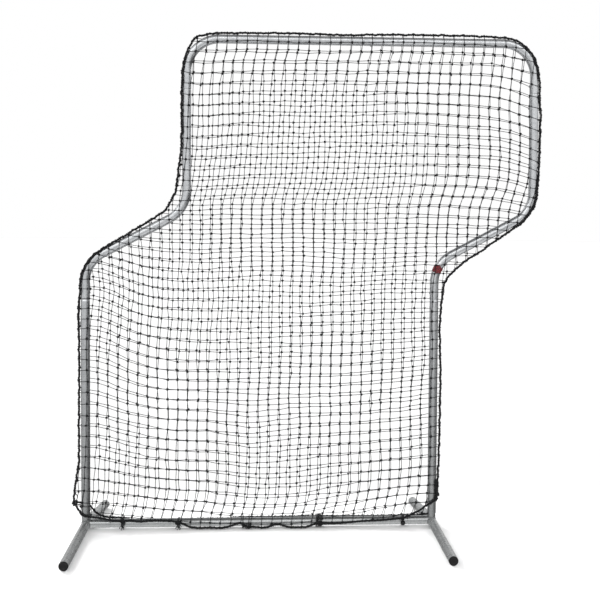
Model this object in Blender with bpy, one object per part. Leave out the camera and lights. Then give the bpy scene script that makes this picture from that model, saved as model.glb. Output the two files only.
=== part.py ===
"""Pitching Z screen: a knock-down frame of galvanised tube with a two-layer pillow-case net.

Metres, +Z up. +X is to the right of someone who faces the front of the screen, and +Y points away
from them, so the front is at -Y. The origin is on the floor, under the middle of the bounding box.
"""

import math

import bmesh
import bpy
import numpy as np
from mathutils import Matrix, Vector

# Outline of the frame, between tube axes unless said otherwise
OVERALL_HEIGHT = 2.134                  # floor to the top of the top rail
SECTION_WIDTH = 1.508                   # the lower and the upper section are equally wide
SECTION_SHIFT = 0.431                   # how far the upper section stands to the right
SHOULDER_HEIGHT = 1.269                 # middle of the slanted runs, above the floor
SHOULDER_SLOPE = math.radians(28.0)
BEND_RADIUS = 0.140

# Tube and its slip joints
TUBE_OD = 0.0381
TUBE_WALL = 0.00165
TUBE_SIDES = 16
BEND_STEP = math.radians(12.4)
SEAT_GAP = 0.0003                       # between pieces that touch
SPIGOT_LENGTH = 0.060                   # the part that the next tube slips over
SWAGE_TAPER = 0.005
JOINT_STRAIGHT = 0.080                  # straight tube from a joint's seam to the bend above it

# Feet
FRONT_REACH = 0.573
TOE_IN_START = 0.045                    # behind the frame, where the foot tube turns inwards
REAR_RUN = 0.290                        # from there to the foot's rear end
REAR_TOE_IN = math.radians(7.9)
STUB_SHOW = 0.016                       # bare post between the foot tube and the upright on it
RAIL_STUB_LENGTH = 0.104                # from the post's axis to the swaged end that the rail slips over
RAIL_RISE = 0.0042                      # the rail sits this much above the foot tubes' axis
PLUG_LIP = 0.00045                      # how far a plug's head stands out past the tube
PLUG_HEAD = 0.004
PLUG_DEPTH = 0.018

# Snap buttons
BUTTON_D = 0.008
BUTTON_PROUD = 0.003
BUTTON_FLANGE_D = 0.011
BUTTON_FLANGE = 0.0012
BUTTON_SET_IN = 0.030                   # from the tube's end to the button
BUTTON_SIDES = 10
SPRING_WIDTH = 0.006
SPRING_THICK = 0.0008
SPRING_ARM = 0.018
HOLE_GAP = 0.0003

# Net
NET_CELL = 0.22225                      # five meshes of the real 44.45 mm net
NET_STRAND = 0.005
NET_THICK = 0.0026
NET_GAP = 0.0005                        # between the tubes and the net that lies on them
NET_EDGE = 0.010                        # how far the net's edge runs outside the tube axes
HEM_ROOM = 0.0255                       # from the rail's axis up to the net's lower edge
HEM_CUT_RUN = 0.125                     # along the net's lower edge, where its corners are cut off
# Layers: name, side, and how much of the left and the right edge the cut corners take
NET_LAYERS = (("front", -1, 0.029, 0.064), ("rear", 1, 0.042, 0.042))

# Ropes and ties
ROPE_D = 0.008
ROPE_CONCAVE_RADIUS = 0.360             # the edge rope spans the inner corners of the Z
ROPE_FOOT = 0.105                       # height of the edge rope's lower ends
TIE_D = 0.0032
BUNGEE_BALL_D = 0.021
CORNER_TIE_HEIGHT = 0.128
MARKER_THICK = 0.0004
MARKER_STATION = 3                      # of the right shoulder tube, in its lower bend

TUBE_R = TUBE_OD / 2
BORE_R = TUBE_R - TUBE_WALL
SPIGOT_R = BORE_R - SEAT_GAP
SPIGOT_BORE_R = SPIGOT_R - TUBE_WALL
FLAT = math.cos(math.pi / TUBE_SIDES)   # from a tube's corner radius to its flats
PLUG_R = TUBE_R + PLUG_LIP
ROPE_R = ROPE_D / 2
FOOT_Z = PLUG_R * FLAT
RAIL_Z = FOOT_Z + RAIL_RISE
TOP_Z = OVERALL_HEIGHT - TUBE_R
REAR_MOST = TOE_IN_START + REAR_RUN * math.cos(REAR_TOE_IN) + PLUG_R * math.sin(REAR_TOE_IN)
FRAME_Y = (FRONT_REACH - REAR_MOST) / 2
LOWER_LEFT = -(SECTION_SHIFT + SECTION_WIDTH) / 2
LOWER_RIGHT = LOWER_LEFT + SECTION_WIDTH
UPPER_LEFT = LOWER_LEFT + SECTION_SHIFT
UPPER_RIGHT = UPPER_LEFT + SECTION_WIDTH
SLANT_RISE = SECTION_SHIFT * math.tan(SHOULDER_SLOPE)
SLANT_LOW = SHOULDER_HEIGHT - SLANT_RISE / 2
SLANT_HIGH = SHOULDER_HEIGHT + SLANT_RISE / 2
SHOULDER_TURN = math.pi / 2 - SHOULDER_SLOPE
LOWER_JOINT_HEIGHT = SLANT_LOW - BEND_RADIUS * math.tan(SHOULDER_TURN / 2) - JOINT_STRAIGHT
UPPER_JOINT_HEIGHT = TOP_Z - BEND_RADIUS - JOINT_STRAIGHT
STUB_END = TUBE_R + STUB_SHOW           # from the foot tube's axis to the upright that slips on
ROPE_OFFSET = TUBE_R + SEAT_GAP + ROPE_R


def empty_scene():
    """Remove what is in the scene, so that the file can be run again."""
    for item in list(bpy.data.objects):
        bpy.data.objects.remove(item, do_unlink=True)


def material(name, colour, roughness, metallic=0.0):
    """A Principled material of one colour."""
    mat = bpy.data.materials.new(name)
    mat.use_nodes = True
    shader = mat.node_tree.nodes["Principled BSDF"]
    shader.inputs["Base Color"].default_value = (*colour, 1.0)
    shader.inputs["Roughness"].default_value = roughness
    shader.inputs["Metallic"].default_value = metallic
    mat.diffuse_color = (*colour, 1.0)
    return mat


def add_object(name, data, mat):
    """Link data into the scene as an object of its own."""
    item = bpy.data.objects.new(name, data)
    bpy.context.scene.collection.objects.link(item)
    item.data.materials.append(mat)
    return item


def route(corners, radii):
    """Stations along straight runs joined by arcs: a list of (point, direction).

    radii gives one bend radius for each inner corner; a radius of 0 keeps the corner sharp.
    """
    corners = [Vector(c) for c in corners]
    first = (corners[1] - corners[0]).normalized()
    stations = [(corners[0], first)]
    for before, corner, after, radius in zip(corners, corners[1:], corners[2:], radii):
        heading = (corner - before).normalized()
        leaving = (after - corner).normalized()
        turn = heading.angle(leaving)
        if radius <= 0:
            stations.append((corner, leaving))
            continue
        start = corner - heading * radius * math.tan(turn / 2)
        side = (leaving - heading * leaving.dot(heading)).normalized()
        steps = max(2, round(turn / BEND_STEP))
        for k in range(steps + 1):
            a = turn * k / steps
            point = start + heading * radius * math.sin(a) + side * radius * (1 - math.cos(a))
            stations.append((point, heading * math.cos(a) + side * math.sin(a)))
    last = (corners[-1] - corners[-2]).normalized()
    stations.append((corners[-1], last))
    return stations


def ring(point, direction, normal, radius, sides):
    """A regular polygon round a point, square to a direction, with flats facing the normal."""
    across = direction.cross(normal).normalized()
    up = across.cross(direction).normalized()
    angles = (np.arange(sides) + 0.5) * 2 * math.pi / sides
    return [point + radius * (math.cos(a) * up + math.sin(a) * across) for a in angles]


def lofted(name, rings, closed):
    """A closed body through rings of equal length; closed joins the last ring to the first."""
    sides = len(rings[0])
    verts = [v for one in rings for v in one]
    count = len(rings)
    faces = []
    for i in range(count if closed else count - 1):
        j = (i + 1) % count
        for k in range(sides):
            m = (k + 1) % sides
            faces.append((i * sides + k, i * sides + m, j * sides + m, j * sides + k))
    if not closed:
        faces.append(tuple(reversed(range(sides))))
        faces.append(tuple(range((count - 1) * sides, count * sides)))
    mesh = bpy.data.meshes.new(name)
    mesh.from_pydata(verts, [], faces)
    tidy(mesh)
    return mesh


def tidy(mesh):
    """Merge doubled points, drop empty faces, turn the faces outwards and shade them."""
    bm = bmesh.new()
    bm.from_mesh(mesh)
    bmesh.ops.remove_doubles(bm, verts=bm.verts, dist=1e-6)
    bmesh.ops.dissolve_degenerate(bm, edges=bm.edges, dist=1e-6)
    bmesh.ops.recalc_face_normals(bm, faces=bm.faces)
    bm.to_mesh(mesh)
    bm.free()
    mesh.shade_smooth()
    mesh.set_sharp_from_angle(angle=math.radians(30))


def pipe(name, stations, normal, mat, spigot_at_end=False):
    """A hollow tube along stations, with a swaged spigot past its last one if asked."""
    outer = [(p, d, TUBE_R) for p, d in stations]
    inner = [(p, d, BORE_R) for p, d in stations]
    if spigot_at_end:
        p, d = stations[-1]
        neck = p + d * SWAGE_TAPER
        tip = neck + d * SPIGOT_LENGTH
        outer += [(neck, d, SPIGOT_R), (tip, d, SPIGOT_R)]
        inner += [(neck, d, SPIGOT_BORE_R), (tip, d, SPIGOT_BORE_R)]
    normal = Vector(normal)
    rings = [ring(p, d, normal, r, TUBE_SIDES) for p, d, r in outer]
    rings += [ring(p, d, normal, r, TUBE_SIDES) for p, d, r in reversed(inner)]
    return add_object(name, lofted(name, rings, True), mat)


def rod_mesh(name, start, end, radius, sides, normal):
    """A solid straight rod between two points."""
    start, end = Vector(start), Vector(end)
    direction = (end - start).normalized()
    rings = [ring(p, direction, Vector(normal), radius, sides) for p in (start, end)]
    return lofted(name, rings, False)


def cutter(name, mesh):
    """A hidden body that only cuts."""
    item = bpy.data.objects.new(name, mesh)
    bpy.context.scene.collection.objects.link(item)
    item.hide_render = True
    item.display_type = "WIRE"
    return item


def cut(item, tool):
    """Take the cutter's shape out of an object."""
    mod = item.modifiers.new("cut_" + tool.name, "BOOLEAN")
    mod.operation = "DIFFERENCE"
    mod.solver = "EXACT"
    mod.object = tool


def fused_mesh(name, base, extra):
    """One mesh that is the union of two."""
    holder = bpy.data.objects.new(name, base)
    tool = bpy.data.objects.new(name + "_tool", extra)
    for item in (holder, tool):
        bpy.context.scene.collection.objects.link(item)
    mod = holder.modifiers.new("join", "BOOLEAN")
    mod.operation = "UNION"
    mod.solver = "EXACT"
    mod.object = tool
    bpy.context.view_layer.update()
    graph = bpy.context.evaluated_depsgraph_get()
    fused = bpy.data.meshes.new_from_object(holder.evaluated_get(graph))
    for item in (holder, tool):
        bpy.data.objects.remove(item, do_unlink=True)
    fused.name = name
    return fused


def turned(name, profile, sides, axis="X"):
    """A body of revolution from (radius, distance) pairs along an axis."""
    direction = {"X": Vector((1, 0, 0)), "Y": Vector((0, 1, 0))}[axis]
    rings = [ring(direction * s, direction, Vector((0, 0, 1)), max(r, 0.0), sides) for r, s in profile]
    return lofted(name, rings, False)


def shoulder_line(x, x_up):
    """Stations of the S-bent tube from the lower upright at x to the upper one at x_up."""
    y = FRAME_Y
    foot = LOWER_JOINT_HEIGHT + SWAGE_TAPER + SEAT_GAP
    corners = [(x, y, foot), (x, y, SLANT_LOW), (x_up, y, SLANT_HIGH), (x_up, y, UPPER_JOINT_HEIGHT)]
    return route(corners, [BEND_RADIUS, BEND_RADIUS])


def frame_tubes(steel):
    """The nine tubes of the frame, by name."""
    y = FRAME_Y
    rail_inset = RAIL_STUB_LENGTH + SWAGE_TAPER + SEAT_GAP
    rail_start = LOWER_LEFT + rail_inset
    rail_end = LOWER_RIGHT - rail_inset
    tubes = {"bottom_rail": pipe(
        "bottom_rail", route([(rail_start, y, RAIL_Z), (rail_end, y, RAIL_Z)], []), (0, 1, 0), steel)}
    lower = (("left", LOWER_LEFT, UPPER_LEFT), ("right", LOWER_RIGHT, UPPER_RIGHT))
    top_foot = UPPER_JOINT_HEIGHT + SWAGE_TAPER + SEAT_GAP
    for side, x, x_up in lower:
        base = FOOT_Z + STUB_END
        name = side + "_lower_upright"
        line = route([(x, y, base), (x, y, LOWER_JOINT_HEIGHT)], [])
        tubes[name] = pipe(name, line, (0, 1, 0), steel, spigot_at_end=True)
        name = side + "_shoulder_tube"
        tubes[name] = pipe(name, shoulder_line(x, x_up), (0, 1, 0), steel, spigot_at_end=True)
    middle = (UPPER_LEFT + UPPER_RIGHT) / 2
    seam = middle + SWAGE_TAPER + SEAT_GAP
    left = route([(UPPER_LEFT, y, top_foot), (UPPER_LEFT, y, TOP_Z), (middle, y, TOP_Z)], [BEND_RADIUS])
    right = route([(UPPER_RIGHT, y, top_foot), (UPPER_RIGHT, y, TOP_Z), (seam, y, TOP_Z)], [BEND_RADIUS])
    tubes["top_left_tube"] = pipe("top_left_tube", left, (0, 1, 0), steel, spigot_at_end=True)
    tubes["top_right_tube"] = pipe("top_right_tube", right, (0, 1, 0), steel)
    return tubes


def foot_axis(x, inward):
    """Corner points of a foot tube's axis, front end first; inward is +1 or -1 along X."""
    front = Vector((x, FRAME_Y - FRONT_REACH + PLUG_HEAD + SEAT_GAP, FOOT_Z))
    turn = Vector((x, FRAME_Y + TOE_IN_START, FOOT_Z))
    heading = Vector((inward * math.sin(REAR_TOE_IN), math.cos(REAR_TOE_IN), 0))
    return [front, turn, turn + heading * (REAR_RUN - PLUG_HEAD - SEAT_GAP)]


def feet(steel, plastic):
    """Foot tubes with the posts and stubs welded to them, and the plugs in their ends."""
    parts = {}
    for side, x, inward in (("left", LOWER_LEFT, 1), ("right", LOWER_RIGHT, -1)):
        line = route(foot_axis(x, inward), [BEND_RADIUS])
        parts[side + "_foot_tube"] = pipe(side + "_foot_tube", line, (0, 0, 1), steel)
        top = FOOT_Z + STUB_END + SEAT_GAP + SPIGOT_LENGTH
        post = stub(side + "_foot_post", (x, FRAME_Y, FOOT_Z), (x, FRAME_Y, top), steel)
        arm_line = route([(x, FRAME_Y, RAIL_Z), (x + inward * RAIL_STUB_LENGTH, FRAME_Y, RAIL_Z)], [])
        arm = pipe(side + "_rail_stub", arm_line, (0, 1, 0), steel, spigot_at_end=True)
        ahead, behind = FRAME_Y - 2 * TUBE_OD, FRAME_Y + 2 * TUBE_OD
        saddle = cutter(side + "_saddle", rod_mesh(
            side + "_saddle", (x, ahead, FOOT_Z), (x, behind, FOOT_Z), TUBE_R + SEAT_GAP,
            2 * TUBE_SIDES, (0, 0, 1)))
        notch = cutter(side + "_notch", rod_mesh(
            side + "_notch", (x, FRAME_Y, FOOT_Z), (x, FRAME_Y, top), SPIGOT_R + SEAT_GAP,
            TUBE_SIDES, (0, 1, 0)))
        cut(post, saddle)
        cut(arm, saddle)
        cut(arm, notch)
        parts[side + "_foot_post"] = post
        parts[side + "_rail_stub"] = arm
        for end, at, back in (("front", line[0], 1), ("rear", line[-1], -1)):
            plug(side + "_" + end + "_plug", at[0], at[1] * back, plastic)
    return parts


def stub(name, start, end, mat):
    """A straight spigot tube, as wide as a swaged end."""
    start, end = Vector(start), Vector(end)
    d = (end - start).normalized()
    normal = Vector((0, 1, 0))
    rings = [ring(p, d, normal, SPIGOT_R, TUBE_SIDES) for p in (start, end)]
    rings += [ring(p, d, normal, SPIGOT_BORE_R, TUBE_SIDES) for p in (end, start)]
    return add_object(name, lofted(name, rings, True), mat)


def plug(name, tube_end, into_tube, mat):
    """A plug: a round head outside the tube's end and a hollow, slightly tapered body inside."""
    body_r = BORE_R - SEAT_GAP
    wall = 0.0018
    taper = 0.0006
    head_back = -SEAT_GAP
    head_front = head_back - PLUG_HEAD
    profile = [(0, head_front), (PLUG_R - 0.001, head_front), (PLUG_R, head_front + 0.001),
               (PLUG_R, head_back), (body_r, head_back), (body_r - taper, PLUG_DEPTH),
               (body_r - taper - wall, PLUG_DEPTH), (body_r - taper - wall, head_back), (0, head_back)]
    mesh = turned(name, profile, TUBE_SIDES, "Y")
    item = add_object(name, mesh, mat)
    heading = math.atan2(-into_tube.x, into_tube.y)
    item.matrix_world = Matrix.Translation(tube_end) @ Matrix.Rotation(heading, 4, "Z")
    return item


def button_meshes():
    """The button with its spring arm, and the hairpin spring, made once for every joint.

    Both are drawn with the button pointing along +X and the spigot's free end along +Z.
    """
    wall = SPIGOT_BORE_R * FLAT
    flange_top = math.sqrt(wall ** 2 - (BUTTON_FLANGE_D / 2) ** 2) - SEAT_GAP
    flange_low = flange_top - BUTTON_FLANGE
    tip = TUBE_R + BUTTON_PROUD
    r = BUTTON_D / 2
    profile = [(0, tip), (0.55 * r, tip - 0.12 * r), (0.88 * r, tip - 0.4 * r), (r, tip - 0.8 * r),
               (r, flange_top), (BUTTON_FLANGE_D / 2, flange_top), (BUTTON_FLANGE_D / 2, flange_low),
               (0, flange_low)]
    head = turned("button_head", profile, BUTTON_SIDES)
    arm_x = flange_low - SPRING_THICK / 2
    arm = strip("button_arm", [(arm_x + SPRING_THICK / 4, 0.3 * BUTTON_FLANGE_D),
                               (arm_x + SPRING_THICK / 4, -SPRING_ARM)])
    button = fused_mesh("snap_button", head, arm)
    seat_x = math.sqrt(wall ** 2 - (SPRING_WIDTH / 2) ** 2) - SEAT_GAP - SPRING_THICK / 2
    bow_r = (arm_x + seat_x) / 2
    bow_x = (arm_x - seat_x) / 2
    bow_z = -SPRING_ARM - SEAT_GAP
    turns = np.linspace(0, math.pi, 9)
    line = [(bow_x + bow_r * math.cos(a), bow_z - bow_r * math.sin(a)) for a in turns]
    line.append((-seat_x, 0.3 * BUTTON_FLANGE_D))
    spring = strip("button_spring", line)
    return button, spring


def strip(name, line):
    """Flat spring strip that follows (x, z) points, centred on y = 0."""
    points = [Vector((x, 0, z)) for x, z in line]
    rings = []
    for i, p in enumerate(points):
        ahead = points[min(i + 1, len(points) - 1)] - points[max(i - 1, 0)]
        side = Vector((0, 1, 0)) * SPRING_WIDTH / 2
        out = ahead.normalized().cross(Vector((0, 1, 0))) * SPRING_THICK / 2
        rings.append([p + side + out, p - side + out, p - side - out, p + side - out])
    return lofted(name, rings, False)


def slip_joints():
    """Each joint: name, point on the tube's axis at the button, button and spigot directions,
    the tube outside and the tube or stub inside."""
    y = FRAME_Y
    joints = []
    for side, x, x_up, inward in (("left", LOWER_LEFT, UPPER_LEFT, 1),
                                  ("right", LOWER_RIGHT, UPPER_RIGHT, -1)):
        in_x = (inward, 0, 0)
        up = (0, 0, 1)
        at = SWAGE_TAPER + BUTTON_SET_IN
        joints.append((side + "_post", (x, y, FOOT_Z + STUB_END + BUTTON_SET_IN), in_x, up,
                       side + "_lower_upright", side + "_foot_post"))
        rail_x = x + inward * (RAIL_STUB_LENGTH + at)
        joints.append((side + "_rail", (rail_x, y, RAIL_Z), (0, 1, 0), in_x,
                       "bottom_rail", side + "_rail_stub"))
        joints.append((side + "_lower", (x, y, LOWER_JOINT_HEIGHT + at), in_x, up,
                       side + "_shoulder_tube", side + "_lower_upright"))
        joints.append((side + "_upper", (x_up, y, UPPER_JOINT_HEIGHT + at), in_x, up,
                       "top_" + side + "_tube", side + "_shoulder_tube"))
    middle = (UPPER_LEFT + UPPER_RIGHT) / 2
    joints.append(("top", (middle + SWAGE_TAPER + BUTTON_SET_IN, y, TOP_Z), (0, 0, -1), (1, 0, 0),
                   "top_right_tube", "top_left_tube"))
    return joints


def snap_buttons(tubes, bright):
    """Drill both tubes of each slip joint, and set a button and its spring in the holes."""
    button, spring = button_meshes()
    for name, point, out, along, outside, inside in slip_joints():
        out, along, point = Vector(out), Vector(along), Vector(point)
        across = along.cross(out)
        turn = Matrix((out, across, along)).transposed().to_4x4()
        place = Matrix.Translation(point) @ turn
        drill = cutter(name + "_hole", rod_mesh(
            name + "_hole", (0, 0, 0), (TUBE_R + 2 * BUTTON_PROUD, 0, 0), BUTTON_D / 2 + HOLE_GAP,
            BUTTON_SIDES, (0, 0, 1)))
        drill.matrix_world = place
        cut(tubes[outside], drill)
        cut(tubes[inside], drill)
        add_object(name + "_button", button.copy(), bright).matrix_world = place
        add_object(name + "_spring", spring.copy(), bright).matrix_world = place


def z_outline(offset, foot, inner_radius):
    """Points round the Z, an even offset outside the tube axes, from the lower left up and round.

    Outer corners follow the tube's bends; inner_radius rounds the two inner corners.
    """
    lift = offset * (1 / math.cos(SHOULDER_SLOPE) - math.tan(SHOULDER_SLOPE))
    bend = BEND_RADIUS + offset
    y = FRAME_Y
    corners = [(LOWER_LEFT - offset, y, foot), (LOWER_LEFT - offset, y, SLANT_LOW + lift),
               (UPPER_LEFT - offset, y, SLANT_HIGH + lift), (UPPER_LEFT - offset, y, TOP_Z + offset),
               (UPPER_RIGHT + offset, y, TOP_Z + offset), (UPPER_RIGHT + offset, y, SLANT_HIGH - lift),
               (LOWER_RIGHT + offset, y, SLANT_LOW - lift), (LOWER_RIGHT + offset, y, foot)]
    radii = [bend, inner_radius, bend, bend, bend, inner_radius]
    return [p for p, _ in route(corners, radii)], lift


def clipped(polygon, normal, limit):
    """The part of a polygon of (x, z) points where point . normal is at most the limit."""
    kept = []
    for a, b in zip(polygon, polygon[1:] + polygon[:1]):
        da = a[0] * normal[0] + a[1] * normal[1] - limit
        db = b[0] * normal[0] + b[1] * normal[1] - limit
        if da <= 0:
            kept.append(a)
        if da * db < 0:
            t = da / (da - db)
            kept.append((a[0] + t * (b[0] - a[0]), a[1] + t * (b[1] - a[1])))
    return kept


def area(polygon):
    """Signed area of a polygon of (x, z) points."""
    return sum(a[0] * b[1] - b[0] * a[1] for a, b in zip(polygon, polygon[1:] + polygon[:1])) / 2


def net_holes(outline):
    """The gaps of a square net inside a convex outline, trimmed where they meet its border."""
    if area(outline) < 0:
        outline = outline[::-1]
    sides = []
    for a, b in zip(outline, outline[1:] + outline[:1]):
        length = math.hypot(b[0] - a[0], b[1] - a[1])
        if length > 1e-6:
            normal = ((b[1] - a[1]) / length, (a[0] - b[0]) / length)
            sides.append((normal, a[0] * normal[0] + a[1] * normal[1] - NET_STRAND))
    low = [min(p[k] for p in outline) for k in (0, 1)]
    high = [max(p[k] for p in outline) for k in (0, 1)]
    first = [math.floor((low[k] - (LOWER_LEFT, RAIL_Z)[k]) / NET_CELL) for k in (0, 1)]
    last = [math.ceil((high[k] - (LOWER_LEFT, RAIL_Z)[k]) / NET_CELL) for k in (0, 1)]
    half = NET_STRAND / 2
    holes = []
    for i in range(first[0], last[0]):
        for j in range(first[1], last[1]):
            x, z = LOWER_LEFT + i * NET_CELL, RAIL_Z + j * NET_CELL
            hole = [(x + half, z + half), (x + NET_CELL - half, z + half),
                    (x + NET_CELL - half, z + NET_CELL - half), (x + half, z + NET_CELL - half)]
            for normal, limit in sides:
                hole = clipped(hole, normal, limit)
                if len(hole) < 3:
                    break
            if len(hole) > 2 and area(hole) > 0.04 * NET_CELL ** 2:
                holes.append(hole)
    return holes


def net_panel(name, outline, y, mat):
    """A flat panel of net: an outline with its gaps, filled and given the twine's thickness."""
    bm = bmesh.new()
    for loop in [outline] + net_holes(outline):
        verts = [bm.verts.new((x, y - NET_THICK / 2, z)) for x, z in loop]
        for a, b in zip(verts, verts[1:] + verts[:1]):
            bm.edges.new((a, b))
    bmesh.ops.triangle_fill(bm, edges=bm.edges, use_beauty=True, use_dissolve=False)
    grown = bmesh.ops.extrude_face_region(bm, geom=bm.faces[:])
    moved = [g for g in grown["geom"] if isinstance(g, bmesh.types.BMVert)]
    bmesh.ops.translate(bm, verts=moved, vec=(0, NET_THICK, 0))
    bmesh.ops.recalc_face_normals(bm, faces=bm.faces)
    mesh = bpy.data.meshes.new(name)
    bm.to_mesh(mesh)
    bm.free()
    return add_object(name, mesh, mat)


def nets(twine):
    """Front and rear net layers, each in a lower, a shoulder and an upper panel."""
    bottom = RAIL_Z + HEM_ROOM
    points, lift = z_outline(NET_EDGE, bottom, 0.0)
    seams = (SLANT_LOW - lift, SLANT_HIGH + lift)
    bands = (("lower", None, seams[0]), ("shoulder", seams[0], seams[1]), ("upper", seams[1], None))
    half = SEAT_GAP / 2
    for layer, side, left_cut, right_cut in NET_LAYERS:
        y = FRAME_Y + side * (TUBE_R + NET_GAP + NET_THICK / 2)
        outline = [(p.x, p.z) for p in points]
        (left_x, _), (right_x, _) = outline[0], outline[-1]
        outline[0] = (left_x, bottom + left_cut)
        outline[-1] = (right_x, bottom + right_cut)
        outline += [(right_x - HEM_CUT_RUN, bottom), (left_x + HEM_CUT_RUN, bottom)]
        for band, low, high in bands:
            part = outline
            if low is not None:
                part = clipped(part, (0, -1), -low - half)
            if high is not None:
                part = clipped(part, (0, 1), high - half)
            net_panel(f"{layer}_net_{band}", spaced(part, 1e-4), y, twine)


def spaced(polygon, least):
    """The polygon without points nearer than the least distance to the one before."""
    kept = []
    for p in polygon:
        if not kept or math.hypot(p[0] - kept[-1][0], p[1] - kept[-1][1]) > least:
            kept.append(p)
    if math.hypot(kept[0][0] - kept[-1][0], kept[0][1] - kept[-1][1]) < least:
        kept.pop()
    return kept


def rope(name, points, diameter, mat, closed=False):
    """A rope or cord of round section along points."""
    curve = bpy.data.curves.new(name, "CURVE")
    curve.dimensions = "3D"
    curve.bevel_depth = diameter / 2
    curve.bevel_resolution = 2 if diameter > 2 * TIE_D else 1
    curve.use_fill_caps = True
    curve.render_resolution_u = 0
    spline = curve.splines.new("POLY")
    spline.points.add(len(points) - 1)
    for slot, p in zip(spline.points, points):
        slot.co = (*p, 1.0)
    spline.use_cyclic_u = closed
    return add_object(name, curve, mat)


def smooth_line(points, per_span):
    """Points on the Catmull-Rom curve through the given points."""
    pts = [np.array(p, float) for p in points]
    pts = [2 * pts[0] - pts[1]] + pts + [2 * pts[-1] - pts[-2]]
    line = []
    for p0, p1, p2, p3 in zip(pts, pts[1:], pts[2:], pts[3:]):
        for k in range(per_span):
            t = k / per_span
            line.append(0.5 * (2 * p1 + (p2 - p0) * t + (2 * p0 - 5 * p1 + 4 * p2 - p3) * t ** 2
                               + (3 * p1 - p0 - 3 * p2 + p3) * t ** 3))
    return line + [pts[-2]]


# The front hem rope sags between its ties: (share of the way along the rail, height above its axis)
FRONT_HEM = ((0.04, 0.030), (0.10, 0.017), (0.185, 0.015), (0.255, 0.014), (0.274, 0.011),
             (0.33, -0.016), (0.39, -0.015), (0.438, 0.003), (0.450, -0.008), (0.466, -0.009),
             (0.515, -0.016), (0.57, -0.008), (0.61, -0.015), (0.65, -0.012), (0.662, 0.002),
             (0.677, 0.004), (0.745, -0.001), (0.900, 0.0145), (0.925, 0.0165), (0.965, 0.048))
TIE_SHARES = (0.105, 0.264, 0.458, 0.669)
BUNGEE_SHARE = 0.913
REAR_HEM_ANGLE = math.radians(45.0)     # where the rear hem rope lies on the rail


def along_rail(share):
    """X at a share of the way from the left upright to the right one."""
    return LOWER_LEFT + share * SECTION_WIDTH


def hem_end(x, outward, side, heights):
    """Points of a hem rope round the outside of an upright, from beside it to in front of it."""
    reach = ROPE_OFFSET + SEAT_GAP
    points = []
    for angle, height in zip((18.0, 42.0, 66.0, 90.0), heights):
        a = math.radians(angle)
        points.append((x + outward * reach * math.cos(a), FRAME_Y + side * reach * math.sin(a), height))
    return points


def front_hem_line():
    """Control points of the front hem rope, left to right."""
    y = FRAME_Y - ROPE_OFFSET
    left = hem_end(LOWER_LEFT, -1, -1, (0.088, 0.075, 0.064, 0.060))
    right = hem_end(LOWER_RIGHT, 1, -1, (0.088, 0.090, 0.093, 0.096))[::-1]
    middle = [(along_rail(s), y, RAIL_Z + h) for s, h in FRONT_HEM]
    return left + middle + right


def rear_hem_line():
    """Control points of the rear hem rope, left to right."""
    reach = ROPE_OFFSET + SEAT_GAP
    y = FRAME_Y + reach * math.sin(REAR_HEM_ANGLE)
    z = RAIL_Z + reach * math.cos(REAR_HEM_ANGLE)
    left = hem_end(LOWER_LEFT, -1, 1, (0.088, 0.080, 0.072, 0.066))
    right = hem_end(LOWER_RIGHT, 1, 1, (0.088, 0.080, 0.072, 0.066))[::-1]
    middle = [(along_rail(0.03), FRAME_Y + ROPE_OFFSET, z + 0.012)]
    middle += [(along_rail(s), y, z) for s in (0.06, 0.35, 0.65, 0.94)]
    middle += [(along_rail(0.97), FRAME_Y + ROPE_OFFSET, z + 0.012)]
    return left + middle + right


def at_x(line, x):
    """The point of a left-to-right line at a given x."""
    for a, b in zip(line, line[1:]):
        if a[0] <= x <= b[0]:
            return a + (b - a) * (x - a[0]) / (b[0] - a[0])
    return line[-1]


def loop_round(circles, clear):
    """Corner points of the tight loop round circles of (a, b, radius), kept clear of them."""
    corners = 16
    cloud = []
    for a, b, r in circles:
        reach = (r + clear) / math.cos(math.pi / corners)
        for angle in np.linspace(0, 2 * math.pi, corners, endpoint=False):
            cloud.append((a + reach * math.cos(angle), b + reach * math.sin(angle)))
    return spaced(convex_hull(cloud), 0.0008)


def rest_on_front(loop, distance):
    """A point at a distance outside the middle of the loop's longest edge that faces the front."""
    best, place = 0.0, None
    for (a, b), (c, d) in zip(loop, loop[1:] + loop[:1]):
        frontward = b - d
        if frontward > best:
            length = math.hypot(c - a, d - b)
            out_a, out_b = (d - b) / length, (a - c) / length
            best, place = frontward, ((a + c) / 2 + out_a * distance, (b + d) / 2 + out_b * distance)
    return place


def convex_hull(points):
    """The convex hull of 2-D points, anticlockwise."""
    points = sorted(set(points))
    halves = []
    for run in (points, points[::-1]):
        half = []
        for p in run:
            while len(half) > 1 and ((half[-1][0] - half[-2][0]) * (p[1] - half[-2][1])
                                     - (half[-1][1] - half[-2][1]) * (p[0] - half[-2][0])) <= 0:
                half.pop()
            half.append(p)
        halves.append(half[:-1])
    return halves[0] + halves[1]


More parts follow.
